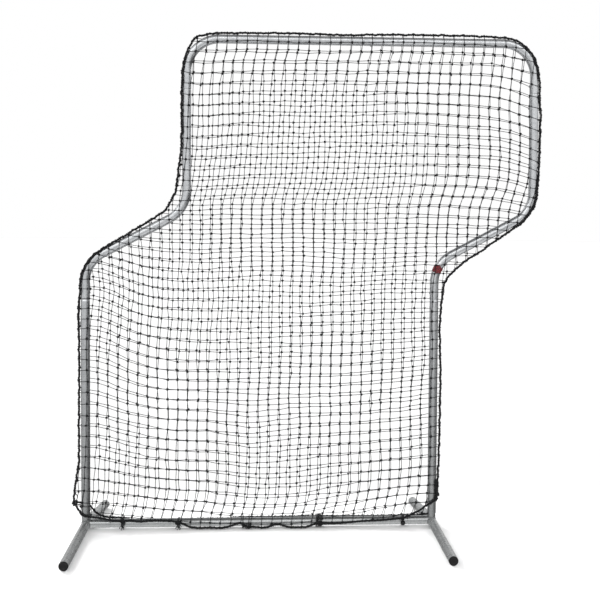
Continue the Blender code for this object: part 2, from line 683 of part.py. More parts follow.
def ropes_and_ties(black):
    """Edge rope, hem ropes, cord ties, the ball bungee and the corner ties."""
    edge, _ = z_outline(ROPE_OFFSET, ROPE_FOOT, ROPE_CONCAVE_RADIUS)
    rope("edge_rope", edge, ROPE_D, black)
    front = smooth_line(front_hem_line(), 2)
    rear = smooth_line(rear_hem_line(), 2)
    rope("front_hem_rope", front, ROPE_D, black)
    rope("rear_hem_rope", rear, ROPE_D, black)
    clear = TIE_D / 2 + SEAT_GAP
    for number, share in enumerate(TIE_SHARES + (BUNGEE_SHARE,), 1):
        x = along_rail(share)
        circles = [(FRAME_Y, RAIL_Z, TUBE_R)]
        for line in (front, rear):
            for near in (x - TIE_D, x, x + TIE_D):
                _, a, b = at_x(line, near)
                circles.append((a, b, ROPE_R))
        loop = loop_round(circles, clear)
        name = f"hem_tie_{number}" if number <= len(TIE_SHARES) else "bungee_loop"
        rope(name, [(x, a, b) for a, b in loop], TIE_D, black, closed=True)
        if name == "bungee_loop":
            a, b = rest_on_front(loop, BUNGEE_BALL_D / 2 + TIE_D / 2 + SEAT_GAP)
            ball("bungee_ball", (x, a, b), BUNGEE_BALL_D / 2, black)
    for side, x, out in (("left", LOWER_LEFT, -1), ("right", LOWER_RIGHT, 1)):
        over_nets = TUBE_R + NET_GAP + NET_THICK
        circles = [(x, FRAME_Y, over_nets), (x + out * ROPE_OFFSET, FRAME_Y, ROPE_R)]
        circles += [(x + out * NET_EDGE, FRAME_Y + side_y * over_nets, 0.0) for side_y in (-1, 1)]
        loop = [(a, b, CORNER_TIE_HEIGHT) for a, b in loop_round(circles, clear)]
        rope(side + "_corner_tie", loop, TIE_D, black, closed=True)


def ball(name, centre, radius, mat):
    """A round ball."""
    bm = bmesh.new()
    bmesh.ops.create_uvsphere(bm, u_segments=12, v_segments=8, radius=radius)
    mesh = bpy.data.meshes.new(name)
    bm.to_mesh(mesh)
    bm.free()
    item = add_object(name, mesh, mat)
    item.matrix_world = Matrix.Translation(centre)
    return item


def marker_band(tape):
    """A band of tape round the right shoulder tube, from halfway to one of its stations to
    halfway past it, so that it follows the tube's own facets."""
    line = shoulder_line(LOWER_RIGHT, UPPER_RIGHT)[MARKER_STATION - 1:MARKER_STATION + 2]
    (a, _), (b, heading), (c, _) = line
    stations = [((a + b) / 2, (b - a).normalized()), (b, heading), ((b + c) / 2, (c - b).normalized())]
    inside = TUBE_R + SEAT_GAP * 2 / 3
    normal = Vector((0, 1, 0))
    rings = [ring(p, d, normal, inside + MARKER_THICK, TUBE_SIDES) for p, d in stations]
    rings += [ring(p, d, normal, inside, TUBE_SIDES) for p, d in reversed(stations)]
    return add_object("marker_band", lofted("marker_band", rings, True), tape)


def build():
    """Make every piece of the screen."""
    empty_scene()
    steel = material("galvanised steel", (0.55, 0.56, 0.57), 0.42, 0.85)
    bright = material("zinc-plated spring steel", (0.62, 0.62, 0.60), 0.30, 1.0)
    plastic = material("black polyethylene", (0.015, 0.015, 0.016), 0.45)
    twine = material("black knotted twine", (0.02, 0.02, 0.022), 0.8)
    black = material("black laid rope", (0.012, 0.012, 0.014), 0.7)
    tape = material("red vinyl tape", (0.45, 0.02, 0.03), 0.4)
    tubes = frame_tubes(steel)
    tubes.update(feet(steel, plastic))
    snap_buttons(tubes, bright)
    nets(twine)
    ropes_and_ties(black)
    marker_band(tape)


build()
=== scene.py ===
"""Looks of a pitching Z screen: galvanised tubes, a two-layer knotted net, ropes and ties.

Everything is in metres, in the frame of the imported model: +Z up, the front of the screen at -Y.
The net, the ropes and the tubes all follow one line, the axes of the tubes round the Z.
"""

import math

import bpy
import numpy as np
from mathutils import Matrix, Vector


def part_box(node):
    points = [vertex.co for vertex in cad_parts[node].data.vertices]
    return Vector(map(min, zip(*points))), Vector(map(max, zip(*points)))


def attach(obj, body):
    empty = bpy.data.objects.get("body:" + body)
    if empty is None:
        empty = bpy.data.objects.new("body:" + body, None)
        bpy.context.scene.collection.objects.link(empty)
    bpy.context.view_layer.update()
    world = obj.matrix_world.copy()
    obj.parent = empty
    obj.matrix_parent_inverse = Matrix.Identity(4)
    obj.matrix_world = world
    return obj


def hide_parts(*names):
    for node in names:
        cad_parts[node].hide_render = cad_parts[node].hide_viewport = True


bl_info = {
    "name": "Pitching Z Screen",
    "version": (1, 0, 0),
    "blender": (4, 5, 0),
    "location": "View3D > Sidebar > Z Screen",
    "description": "Builds the visible tubes, net, ropes and ties of a pitching Z screen",
    "category": "Add Mesh",
}

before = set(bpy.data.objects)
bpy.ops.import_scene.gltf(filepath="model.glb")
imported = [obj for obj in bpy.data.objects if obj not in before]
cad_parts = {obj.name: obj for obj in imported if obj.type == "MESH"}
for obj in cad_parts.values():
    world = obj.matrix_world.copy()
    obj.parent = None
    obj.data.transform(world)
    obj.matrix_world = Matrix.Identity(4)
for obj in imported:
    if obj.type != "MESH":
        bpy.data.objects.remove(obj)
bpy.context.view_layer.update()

# Outline of the frame between tube axes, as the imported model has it
SECTION_WIDTH = 1.508
SECTION_SHIFT = 0.431
SHOULDER_HEIGHT = 1.269
SHOULDER_SLOPE = math.radians(28.0)
BEND_RADIUS = 0.140
LOWER_LEFT = -(SECTION_SHIFT + SECTION_WIDTH) / 2
LOWER_RIGHT = LOWER_LEFT + SECTION_WIDTH
UPPER_LEFT = LOWER_LEFT + SECTION_SHIFT
UPPER_RIGHT = UPPER_LEFT + SECTION_WIDTH
SLANT_RISE = SECTION_SHIFT * math.tan(SHOULDER_SLOPE)
SLANT_LOW = SHOULDER_HEIGHT - SLANT_RISE / 2
SLANT_HIGH = SHOULDER_HEIGHT + SLANT_RISE / 2

# Tube, slip joints and feet
TUBE_R = 0.01905
TUBE_WALL = 0.00165
TUBE_SIDES = 40
TUBE_STEP = 0.009
BEND_STEP = 0.004
BORE_R = TUBE_R - TUBE_WALL
SEAT_GAP = 0.0003
SPIGOT_R = BORE_R - SEAT_GAP
SPIGOT_LENGTH = 0.060
SWAGE_TAPER = 0.005
JOINT_STRAIGHT = 0.080
TOP_Z = 2.134 - TUBE_R
LOWER_JOINT = SLANT_LOW - BEND_RADIUS * math.tan((math.pi / 2 - SHOULDER_SLOPE) / 2) - JOINT_STRAIGHT
UPPER_JOINT = TOP_Z - BEND_RADIUS - JOINT_STRAIGHT
FOOT_Z = 0.01913
RAIL_Z = 0.02333
FRAME_Y = 0.11904
FRONT_REACH = 0.573
TOE_IN_START = 0.045
REAR_RUN = 0.290
REAR_TOE_IN = math.radians(7.9)
STUB_END = TUBE_R + 0.016
RAIL_STUB = 0.104
RAIL_INSET = RAIL_STUB + SWAGE_TAPER + SEAT_GAP
PLUG_R = TUBE_R + 0.00006
PLUG_HEAD = 0.004

# Ropes and twine
ROPE_R = 0.0048
REAR_ROPE_R = 0.0041
TWINE_R = 0.00125
HEM_CORD_R = 0.0018
CORD_CLEAR = 0.0003
NET_REST = TUBE_R + TWINE_R + CORD_CLEAR
HEM_REST = TUBE_R + ROPE_R + 0.0005
ROPE_LAY = 0.029
TAPE_WIDTH = 0.033

# The body of every piece that doesn't move
STILL_BODY = "screen"


def unit(v):
    """The vector or rows of vectors at length one."""
    return v / np.linalg.norm(v, axis=-1, keepdims=True)


def smoothstep(t):
    """3 t^2 - 2 t^3 between 0 and 1, flat outside."""
    t = np.clip(t, 0.0, 1.0)
    return t * t * (3 - 2 * t)


def bell(t):
    """exp(-t^2)."""
    return np.exp(-np.square(t))


def wander(s, pitch, size, seed):
    """Smooth wander along s: the mean of four sines near the pitch with seeded phases, times the size."""
    phases = np.random.default_rng(seed).uniform(0, 2 * np.pi, 4)
    lengths = pitch * np.array((0.55, 0.83, 1.21, 1.9))
    waves = np.sin(2 * np.pi * np.asarray(s)[..., None] / lengths + phases)
    return size * waves.mean(-1) * 2


def run_length(points):
    """Arc length at each point of a line: the running sum of the steps between points."""
    steps = np.linalg.norm(np.diff(points, axis=0), axis=1)
    return np.concatenate(([0.0], np.cumsum(steps)))


def placed_at(points, lengths, s):
    """Points of a line at arc lengths s, straight between its own points."""
    return np.stack([np.interp(s, lengths, points[:, k]) for k in range(points.shape[1])], axis=1)


def evened(points, step):
    """The same line with even steps near the given one."""
    lengths = run_length(points)
    count = max(2, round(lengths[-1] / step) + 1)
    return placed_at(points, lengths, np.linspace(0, lengths[-1], count))


def bent(corners, radii, step):
    """Straight runs joined by arcs: start + r (heading sin a + side (1 - cos a)), in even steps."""
    corners = np.array(corners, float)
    runs = [corners[:1]]
    for before, corner, after, radius in zip(corners, corners[1:], corners[2:], radii):
        heading = unit(corner - before)
        leaving = unit(after - corner)
        turn = math.acos(float(heading @ leaving))
        start = corner - heading * radius * math.tan(turn / 2)
        side = unit(leaving - heading * (leaving @ heading))
        a = np.linspace(0, turn, max(3, round(turn * radius / step) + 1))[:, None]
        runs.append(start + radius * (heading * np.sin(a) + side * (1 - np.cos(a))))
    runs.append(corners[-1:])
    return evened(np.concatenate(runs), step)


def smooth(points, step):
    """Catmull-Rom curve through the points, in even steps."""
    p = np.array(points, float)
    p = np.concatenate((2 * p[:1] - p[1:2], p, 2 * p[-1:] - p[-2:-1]))
    t = np.linspace(0, 1, 16, endpoint=False)[None, :, None]
    p0, p1, p2, p3 = (p[k:len(p) - 3 + k, None] for k in range(4))
    spans = 0.5 * (2 * p1 + (p2 - p0) * t + (2 * p0 - 5 * p1 + 4 * p2 - p3) * t ** 2
                   + (3 * p1 - p0 - 3 * p2 + p3) * t ** 3)
    return evened(np.concatenate((spans.reshape(-1, p.shape[1]), p[-2:-1])), step)


def headings(points, closed=False):
    """Unit direction of travel at each point."""
    if closed:
        return unit(np.roll(points, -1, axis=0) - np.roll(points, 1, axis=0))
    return unit(np.gradient(points, axis=0))


def swept(points, radius, sides, square_to, turn=0.0, lobes=None, closed=False):
    """Rings of points round a line: centre + r (n cos a + b sin a).

    n is square_to, made square to the line, and b the line's heading crossed with n. lobes scales
    the radius of each corner of the ring, and turn twists the ring.
    """
    t = headings(points, closed)
    ref = np.broadcast_to(np.asarray(square_to, float), t.shape)
    n = unit(ref - t * (ref * t).sum(1, keepdims=True))
    b = np.cross(t, n)
    a = np.arange(sides) * 2 * np.pi / sides + np.broadcast_to(turn, len(points))[:, None]
    r = np.broadcast_to(radius, len(points))[:, None] * (np.ones(sides) if lobes is None else lobes)
    around = np.cos(a)[..., None] * n[:, None] + np.sin(a)[..., None] * b[:, None]
    return points[:, None] + r[..., None] * around


class Skin:
    """Grids of points gathered for one mesh. Each grid is closed round, and capped or closed along."""

    def __init__(self):
        self.points = []
        self.corners = []
        self.sizes = []
        self.uvs = []
        self.count = 0

    def add(self, grid, along=None, closed=False, around=1.0):
        """Quads between neighbouring rings, with u round the ring and v along the line."""
        rows, sides, _ = grid.shape
        index = self.count + np.arange(rows * sides).reshape(rows, sides)
        beside = np.roll(index, -1, axis=1)
        last = None if closed else -1
        low, low_beside = index[:last], beside[:last]
        high, high_beside = np.roll(index, -1, axis=0)[:last], np.roll(beside, -1, axis=0)[:last]
        quads = np.stack((low, low_beside, high_beside, high), axis=-1)
        v = np.arange(rows, dtype=float) if along is None else np.asarray(along, float)
        v = np.append(v, v[-1] + v[1] - v[0])[:len(quads) + 1]
        u = np.linspace(0, around, sides + 1)
        uv = np.empty(quads.shape + (2,))
        uv[..., 0] = np.stack((u[:-1], u[1:], u[1:], u[:-1]), axis=-1)
        uv[..., 1] = np.stack((v[:-1], v[:-1], v[1:], v[1:]), axis=-1)[:, None]
        self._take(grid, quads.ravel(), np.full(quads.size // 4, 4), uv.reshape(-1, 2))
        if not closed:
            for ring, height in ((index[0][::-1], v[0]), (index[-1], v[-1])):
                spot = np.tile((0.0, height), (sides, 1))
                self._take(np.empty((0, 3)), ring, np.array([sides]), spot)

    def repeat(self, grids):
        """Many copies of one small capped grid, as an array of (copies, rows, sides, 3)."""
        copies, rows, sides, _ = grids.shape
        one = np.arange(rows * sides).reshape(rows, sides)
        beside = np.roll(one, -1, axis=1)
        quads = np.stack((one[:-1], beside[:-1], beside[1:], one[1:]), axis=-1).reshape(-1)
        caps = np.concatenate((one[0][::-1], one[-1]))
        pattern = np.concatenate((quads, caps))
        starts = self.count + np.arange(copies) * rows * sides
        sizes = np.concatenate((np.full(len(quads) // 4, 4), (sides, sides)))
        corners = (starts[:, None] + pattern).ravel()
        uv = np.stack((pattern % sides / sides, pattern // sides / 4), axis=1)
        self._take(grids.reshape(-1, 3), corners, np.tile(sizes, copies), np.tile(uv, (copies, 1)))

    def _take(self, points, corners, sizes, uvs):
        points = np.asarray(points).reshape(-1, 3)
        self.points.append(points)
        self.corners.append(corners)
        self.sizes.append(sizes)
        self.uvs.append(uvs)
        self.count += len(points)

    def piece(self, name, material, slot, body=STILL_BODY, stands_for=(), crease=50.0):
        """The gathered mesh as a finished piece that rides on a body."""
        corners = np.concatenate(self.corners)
        sizes = np.concatenate(self.sizes)
        mesh = bpy.data.meshes.new(name)
        mesh.vertices.add(self.count)
        mesh.vertices.foreach_set("co", np.concatenate(self.points).ravel())
        mesh.loops.add(len(corners))
        mesh.loops.foreach_set("vertex_index", corners)
        mesh.polygons.add(len(sizes))
        mesh.polygons.foreach_set("loop_start", np.concatenate(([0], np.cumsum(sizes)[:-1])))
        mesh.update(calc_edges=True)
        mesh.uv_layers.new(name="skin").data.foreach_set("uv", np.concatenate(self.uvs).ravel())
        mesh.shade_smooth()
        mesh.set_sharp_from_angle(angle=math.radians(crease))
        mesh.materials.append(material)
        item = bpy.data.objects.new(name, mesh)
        bpy.context.scene.collection.objects.link(item)
        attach(item, body)
        if stands_for:
            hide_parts(*stands_for)
        return item


# The line of the tube axes round the Z, in (x, z), which the net and the edge rope are measured from


def tube_axes(foot, step):
    """The axes of the tubes round the Z, from the lower left up and round."""
    left = [(LOWER_LEFT, foot), (LOWER_LEFT, SLANT_LOW), (UPPER_LEFT, SLANT_HIGH), (UPPER_LEFT, TOP_Z)]
    right = [(UPPER_RIGHT, TOP_Z), (UPPER_RIGHT, SLANT_HIGH), (LOWER_RIGHT, SLANT_LOW), (LOWER_RIGHT, foot)]
    return bent(left + right, [BEND_RADIUS] * 6, step)


AXIS_FOOT = -0.05
AXIS = tube_axes(AXIS_FOOT, 0.007)
AXIS_S = run_length(AXIS)
AXIS_T = headings(AXIS)
AXIS_N = np.stack((-AXIS_T[:, 1], AXIS_T[:, 0]), axis=1)


def beside_axis(points):
    """Arc length s of the nearest place on the axes, and the distance u outside them, for (x, z) rows."""
    gaps = ((points[:, None] - AXIS[None]) ** 2).sum(2)
    k = gaps.argmin(1)
    v = points - AXIS[k]
    return AXIS_S[k] + (v * AXIS_T[k]).sum(1), (v * AXIS_N[k]).sum(1)


def off_axis(s, u):
    """The (x, z) points at a distance u outside the axes at arc lengths s."""
    return placed_at(AXIS, AXIS_S, s) + unit(placed_at(AXIS_N, AXIS_S, s)) * np.asarray(u)[:, None]


# How far the edge rope lies outside the tube axes, in mm, at places (in m) along them. It is pulled over
# the tube's front where it lies nearer than the tube's surface, and spans the inner corners of the Z.
EDGE_ROPE_RUN = (
    (0.10, 47), (0.15, 52), (0.21, 49), (0.25, 44), (0.28, 38), (0.34, 30), (0.40, 29), (0.50, 29),
    (0.60, 28), (0.70, 27), (0.80, 27), (0.90, 28), (0.98, 31), (1.03, 27), (1.09, 21), (1.16, 17),
    (1.23, 14), (1.28, 18), (1.33, 21), (1.40, 24), (1.45, 28), (1.52, 32), (1.58, 37), (1.62, 48),
    (1.69, 56), (1.74, 45), (1.80, 39), (1.87, 29), (1.93, 22), (2.00, 20), (2.13, 21), (2.20, 19),
    (2.25, 18), (2.29, 14), (2.33, 22), (2.39, 38), (2.42, 27), (2.46, 25), (2.60, 27), (2.73, 29),
    (2.87, 28), (3.02, 25), (3.10, 28), (3.25, 31), (3.55, 31), (3.66, 28), (3.74, 23), (3.80, 17),
    (3.86, 13), (3.92, 15), (3.95, 22), (4.03, 24), (4.09, 33), (4.12, 29), (4.20, 30), (4.30, 27),
    (4.36, 21), (4.43, 15), (4.52, 13), (4.56, 19), (4.64, 31), (4.70, 36), (4.77, 47), (4.84, 51),
    (4.92, 64), (4.95, 66), (5.02, 54), (5.07, 41), (5.16, 31), (5.24, 26), (5.30, 28), (5.45, 33),
    (5.60, 32), (5.75, 30), (5.85, 28), (5.92, 25), (6.00, 24), (6.10, 24),
)
ROPE_S, ROPE_MM = np.array(EDGE_ROPE_RUN).T
ROPE_ON_TUBE = TUBE_R + ROPE_R + 0.0007


def edge_rope_place(s):
    """Where the edge rope runs: its distance u outside the axes, and its depth behind them.

    u is read off the run, each reading the mean of five close by, with small bends where the net pulls.
    Nearer than the tube's surface allows, the rope lies on its front, at a depth of -sqrt(r^2 - u^2).
    """
    close = np.asarray(s)[..., None] + np.linspace(-0.008, 0.008, 5)
    u = np.interp(close, ROPE_S, ROPE_MM).mean(-1) / 1000 + wander(s, 0.055, 0.0013, 31)
    on_front = np.sqrt(np.maximum(ROPE_ON_TUBE ** 2 - u ** 2, 0))
    return u, -on_front + wander(s, 0.35, 0.0018, 8) * smoothstep((u - 0.02) / 0.008)


# Colours and materials


def linear(hex_colour):
    """sRGB hex to linear red, green, blue and alpha."""
    value = np.array([int(hex_colour[k:k + 2], 16) for k in (1, 3, 5)]) / 255
    rgb = np.where(value <= 0.04045, value / 12.92, ((value + 0.055) / 1.055) ** 2.4)
    return (*rgb.tolist(), 1.0)


# Kinds of node that are used most
COORDS = "ShaderNodeTexCoord"
SPLIT = "ShaderNodeSeparateXYZ"
NOISE = "ShaderNodeTexNoise"
MATH = "ShaderNodeMath"
RANGE = "ShaderNodeMapRange"
RAMP = "ShaderNodeValToRGB"
MIX = "ShaderNodeMix"
BUMP = "ShaderNodeBump"
SHADER = "ShaderNodeBsdfPrincipled"
OUTPUT = "ShaderNodeOutputMaterial"


def add(tree, kind, stops=(), **settings):
    """Add a node with its settings and links.

    A setting is one of the node's properties or inputs. An input goes by its name, with _ for a space,
    or by its number as _0, _1 or _2; it takes a value, an output, or a node, whose first output it is
    linked to. The stops of a colour ramp are pairs of position and colour.
    """
    made = tree.nodes.new(kind)
    for key in [key for key in settings if hasattr(made, key)]:
        setattr(made, key, settings.pop(key))
    for key, source in settings.items():
        place = made.inputs[int(key[1:]) if key[0] == "_" else key.replace("_", " ")]
        if isinstance(source, bpy.types.Node):
            source = next(output for output in source.outputs if not output.is_unavailable)
        if isinstance(source, bpy.types.NodeSocket):
            tree.links.new(source, place)
        else:
            place.default_value = source
    for k, (position, colour) in enumerate(stops):
        band = made.color_ramp.elements
        stop = band[k] if k < 2 else band.new(position)
        stop.position = position
        stop.color = linear(colour) if isinstance(colour, str) else colour
    return made


def per_metre(millimetres):
    """A pattern's scale from the real size of its features."""
    return 1000 / millimetres


def blank_material(name):
    """A new material and its empty tree."""
    mat = bpy.data.materials.new(name)
    mat.use_nodes = True
    mat.node_tree.nodes.clear()
    return mat, mat.node_tree


def galvanised_steel(colours):
    """Hot-dip galvanised mild-steel tube, drawn and dulled by weather.

    The eye sees a soft grey metal with faint spangle grains about 7 mm across, cloudy patches a
    hand wide, hair lines along the tube and scuffs that take the shine off. Its colour is painted
    darker towards the ground: painted shade.
    """
    mat, tree = blank_material("galvanised steel tube")
    where = add(tree, COORDS).outputs["Object"]
    grains = add(tree, "ShaderNodeTexVoronoi", Vector=where, Scale=per_metre(7.14)).outputs["Color"]
    grain = add(tree, "ShaderNodeSeparateColor", Color=grains)
    clouds = add(tree, NOISE, Vector=where, Scale=per_metre(111), Detail=4.0, Roughness=0.6)
    skin = add(tree, "ShaderNodeUVMap", uv_map="skin")
    hairs = add(tree, "ShaderNodeMapping", Vector=skin, Scale=(per_metre(1.11), per_metre(167), 1.0))
    lines = add(tree, NOISE, Vector=hairs, Scale=1.0, Detail=2.0, Roughness=0.6)
    scuffs = add(tree, NOISE, Vector=where, Scale=per_metre(16.7), Detail=6.0, Roughness=0.7)
    mix = add(tree, MATH, operation="MULTIPLY_ADD", _0=grain, _1=0.30, _2=0.10)
    mix = add(tree, MATH, operation="MULTIPLY_ADD", _0=clouds, _1=0.75, _2=mix)
    mix = add(tree, MATH, operation="MULTIPLY_ADD", _0=lines, _1=0.28, _2=mix)
    clean = add(tree, RAMP, Fac=mix, stops=((0.40, colours.steel_dull), (0.95, colours.steel)))
    # Painted shade: the colour is multiplied darker towards the ground by this ramp of height
    height = add(tree, SPLIT, Vector=where).outputs["Z"]
    painted_low_shade = add(tree, RAMP, Fac=height, stops=((0.10, "#dcdcda"), (0.50, "#e8e8e7"), (1.00, "#ffffff")))
    tone = add(tree, MIX, data_type="RGBA", blend_type="MULTIPLY", Factor=1.0, A=clean, B=painted_low_shade)
    rough = add(tree, RANGE, Value=scuffs, From_Min=0.3, From_Max=0.75, To_Min=0.22, To_Max=0.38)
    fine = add(tree, BUMP, Strength=0.10, Distance=0.0006, Height=lines)
    coarse = add(tree, BUMP, Strength=0.16, Distance=0.0008, Height=scuffs, Normal=fine)
    shader = add(tree, SHADER, Base_Color=tone, Metallic=0.94, Roughness=rough, Normal=coarse)
    add(tree, OUTPUT, Surface=shader)
    return mat


def zinc_plated_steel(colours):
    """Bright zinc-plated spring steel, stamped and barrel-plated: a clean, faintly bluish shine."""
    mat, tree = blank_material("zinc-plated spring steel")
    where = add(tree, COORDS).outputs["Object"]
    clouds = add(tree, NOISE, Vector=where, Scale=per_metre(4.55), Detail=4.0, Roughness=0.55)
    tone = add(tree, RAMP, Fac=clouds, stops=((0.3, "#9fa2a4"), (0.75, colours.zinc)))
    rough = add(tree, RANGE, Value=clouds, To_Min=0.18, To_Max=0.34)
    grain = add(tree, NOISE, Vector=where, Scale=per_metre(0.556), Detail=2.0, Roughness=0.55)
    bump = add(tree, BUMP, Strength=0.08, Distance=0.0003, Height=grain)
    shader = add(tree, SHADER, Base_Color=tone, Metallic=1.0, Roughness=rough, Normal=bump)
    add(tree, OUTPUT, Surface=shader)
    return mat


def weld_metal(colours):
    """Welds touched up with zinc paint: matt, lumpy and a little darker than the tube."""
    mat, tree = blank_material("zinc-painted weld")
    where = add(tree, COORDS).outputs["Object"]
    clouds = add(tree, NOISE, Vector=where, Scale=per_metre(3.85), Detail=5.0, Roughness=0.65)
    tone = add(tree, RAMP, Fac=clouds, stops=((0.3, "#6d6f70"), (0.7, colours.weld)))
    bump = add(tree, BUMP, Strength=0.5, Distance=0.0006, Height=clouds)
    shader = add(tree, SHADER, Base_Color=tone, Metallic=0.7, Roughness=0.55, Normal=bump)
    add(tree, OUTPUT, Surface=shader)
    return mat


def moulded_polyethylene(colours):
    """Black polyethylene, injection moulded: satin, with a fine grain and handling scuffs."""
    mat, tree = blank_material("moulded black polyethylene")
    where = add(tree, COORDS).outputs["Object"]
    scuffs = add(tree, NOISE, Vector=where, Scale=per_metre(8.33), Detail=5.0, Roughness=0.65)
    tone = add(tree, RAMP, Fac=scuffs,
               stops=((0.45, "#0c0c0d"), (0.62, colours.plastic), (0.8, colours.plastic_scuffed)))
    rough = add(tree, RANGE, Value=scuffs, To_Min=0.36, To_Max=0.60)
    grain = add(tree, NOISE, Vector=where, Scale=per_metre(0.385), Detail=2.0, Roughness=0.55)
    bump = add(tree, BUMP, Strength=0.12, Distance=0.0003, Height=grain)
    shader = add(tree, SHADER, Base_Color=tone, IOR=1.51, Specular_IOR_Level=0.3, Roughness=rough,
                 Normal=bump)
    add(tree, OUTPUT, Surface=shader)
    return mat


def twisted_fibre(name, hollow_shade, light, yarns, lay, fibre):
    """Black synthetic fibre, twisted into yarns: matt, with slanting lines, painted shade in the hollows
    between the yarns, worn ridges with painted sheen, and stray grey fibres.

    The lines are sin(2 pi (yarns times the share round the cord, plus the length over the lay)). The
    lay and the size of the grey fibres are in mm.
    """
    mat, tree = blank_material(name)
    parts = add(tree, SPLIT, Vector=add(tree, "ShaderNodeUVMap", uv_map="skin"))
    around = add(tree, MATH, operation="MULTIPLY", _0=parts.outputs["X"], _1=2 * math.pi * yarns)
    turn = add(tree, MATH, operation="MULTIPLY_ADD", _0=parts.outputs["Y"],
               _1=2 * math.pi * per_metre(lay), _2=around)
    wave = add(tree, MATH, operation="SINE", _0=turn)
    lines = add(tree, RANGE, Value=wave, From_Min=-1.0)
    where = add(tree, COORDS).outputs["Object"]
    fuzz = add(tree, NOISE, Vector=where, Scale=per_metre(fibre), Detail=3.0, Roughness=0.7)
    mix = add(tree, MATH, operation="MULTIPLY", _0=lines, _1=fuzz)
    # Painted shade and sheen: the hollows between the yarns take the dark colour, the worn ridges the light
    # one
    tone = add(tree, RAMP, Fac=mix, stops=((0.08, hollow_shade), (0.62, light)))
    height = add(tree, MATH, operation="MULTIPLY_ADD", _0=fuzz, _1=0.5, _2=lines)
    bump = add(tree, BUMP, Strength=0.6, Distance=0.0004, Height=height)
    shader = add(tree, SHADER, Base_Color=tone, Roughness=0.82, Specular_IOR_Level=0.28,
                 Sheen_Weight=0.05, Normal=bump)
    add(tree, OUTPUT, Surface=shader)
    return mat


def polyester_twine(colours):
    """Polyester twine of two yarns: dull black, its turns only just wide enough to show."""
    return twisted_fibre("black polyester twine", colours.twine, colours.twine_wear_and_sheen, yarns=2, lay=8,
                         fibre=0.667)


def polypropylene_rope(colours):
    """Laid polypropylene rope with three yarns in a strand: dull black with a coarser fuzz."""
    return twisted_fibre("black laid polypropylene rope", colours.rope, colours.rope_wear_and_sheen, yarns=9, lay=12,
                         fibre=0.909)


def vinyl_tape(colours):
    """Red vinyl tape, wrapped by hand and weathered: a soft shine, dirty in its creases."""
    mat, tree = blank_material("red vinyl tape")
    where = add(tree, COORDS).outputs["Object"]
    dirt = add(tree, NOISE, Vector=where, Scale=per_metre(7.69), Detail=5.0, Roughness=0.7)
    tone = add(tree, RAMP, Fac=dirt, stops=((0.36, "#2e080b"), (0.55, "#6d1119"), (0.8, colours.tape)))
    rough = add(tree, RANGE, Value=dirt, To_Min=0.34, To_Max=0.62)
    bump = add(tree, BUMP, Strength=0.35, Distance=0.0008, Height=dirt)
    shader = add(tree, SHADER, Base_Color=tone, Roughness=rough, Normal=bump)
    add(tree, OUTPUT, Surface=shader)
    return mat


# Painted light: the paper is painted bright as far as its reach from X = 0 and from its middle depth;
# over the fall beyond that it is painted dimmer, to its far share
PAPER_MIDDLE_Y = -0.275
PAPER_REACH = (1.25, 0.475)
PAPER_FALL = 0.60
PAPER_FAR_SHARE = 0.66


def sweep_paper(colours):
    """Matt white background paper with the faintest grain, with painted light: bright under the screen,
    greyer further out, so that the twine in front of it isn't washed out."""
    mat, tree = blank_material("white background paper")
    where = add(tree, COORDS).outputs["Object"]
    parts = add(tree, SPLIT, Vector=where)
    deep = add(tree, MATH, operation="SUBTRACT", _0=parts.outputs["Y"], _1=PAPER_MIDDLE_Y)
    away = [add(tree, MATH, operation="ABSOLUTE", _0=way) for way in (parts.outputs["X"], deep)]
    past = [add(tree, MATH, operation="SUBTRACT", _0=way, _1=reach) for way, reach in zip(away, PAPER_REACH)]
    most = add(tree, MATH, operation="MAXIMUM", _0=past[0], _1=past[1])
    # Painted light: the paper's colour is scaled from full down to its far share
    share = add(tree, RANGE, Value=most, From_Max=PAPER_FALL, To_Min=1.0, To_Max=PAPER_FAR_SHARE)
    tone = add(tree, "ShaderNodeVectorMath", operation="SCALE", _0=(colours.paper,) * 3, Scale=share)
    grain = add(tree, NOISE, Vector=where, Scale=per_metre(1.43), Detail=3.0, Roughness=0.55)
    bump = add(tree, BUMP, Strength=0.05, Distance=0.0005, Height=grain)
    shader = add(tree, SHADER, Base_Color=tone, Roughness=0.95, Specular_IOR_Level=0.1, Normal=bump)
    add(tree, OUTPUT, Surface=shader)
    return mat


MAKERS = {
    "steel": galvanised_steel,
    "spring": zinc_plated_steel,
    "weld": weld_metal,
    "plastic": moulded_polyethylene,
    "twine": polyester_twine,
    "rope": polypropylene_rope,
    "tape": vinyl_tape,
    "paper": sweep_paper,
}
FINISHES = {}


def finish(name):
    """A finish by its short name, made when it is first asked for."""
    if name not in FINISHES:
        FINISHES[name] = MAKERS[name](bpy.context.scene.z_screen_colours)
    return FINISHES[name]


# Frame tubes


# Rim of a tube's end: (distance from the end, how much less than the full radius), rounded by a file
RIM = ((0.0, 0.0007), (0.0003, 0.0002), (0.0009, 0.0))
RIM_CLEAR = 0.002
TIP_ROUND = 0.0006


def tube_skin(line, end, spigot):
    """Outside and bore of a tube along a line, up to the length end, closed into a shell.

    It is worked out as (length, radius) stations. The rims are rounded. A spigot is the swaged end that
    slips into the next tube.
    """
    middle = np.linspace(RIM_CLEAR, end - RIM_CLEAR, max(3, round(end / TUBE_STEP)))
    stations = [(s, TUBE_R - less) for s, less in RIM]
    stations += [(s, TUBE_R) for s in middle]
    if spigot:
        neck = end + SWAGE_TAPER
        tip = neck + SPIGOT_LENGTH
        stations += [(end, TUBE_R), (end + 0.001, TUBE_R - 0.0003), (neck - 0.001, SPIGOT_R + 0.0003),
                     (neck, SPIGOT_R), (tip - TIP_ROUND, SPIGOT_R), (tip, SPIGOT_R - 0.0005)]
        bore = [(tip, SPIGOT_R - TUBE_WALL), (neck, SPIGOT_R - TUBE_WALL), (end, BORE_R)]
    else:
        stations += [(end - s, TUBE_R - less) for s, less in RIM[::-1]]
        bore = [(end, BORE_R)]
    bore += [(s, BORE_R) for s in middle[::-2]] + [(0.0, BORE_R)]
    s, r = np.array(stations + bore).T
    return placed_at(line, run_length(line), s), r, s


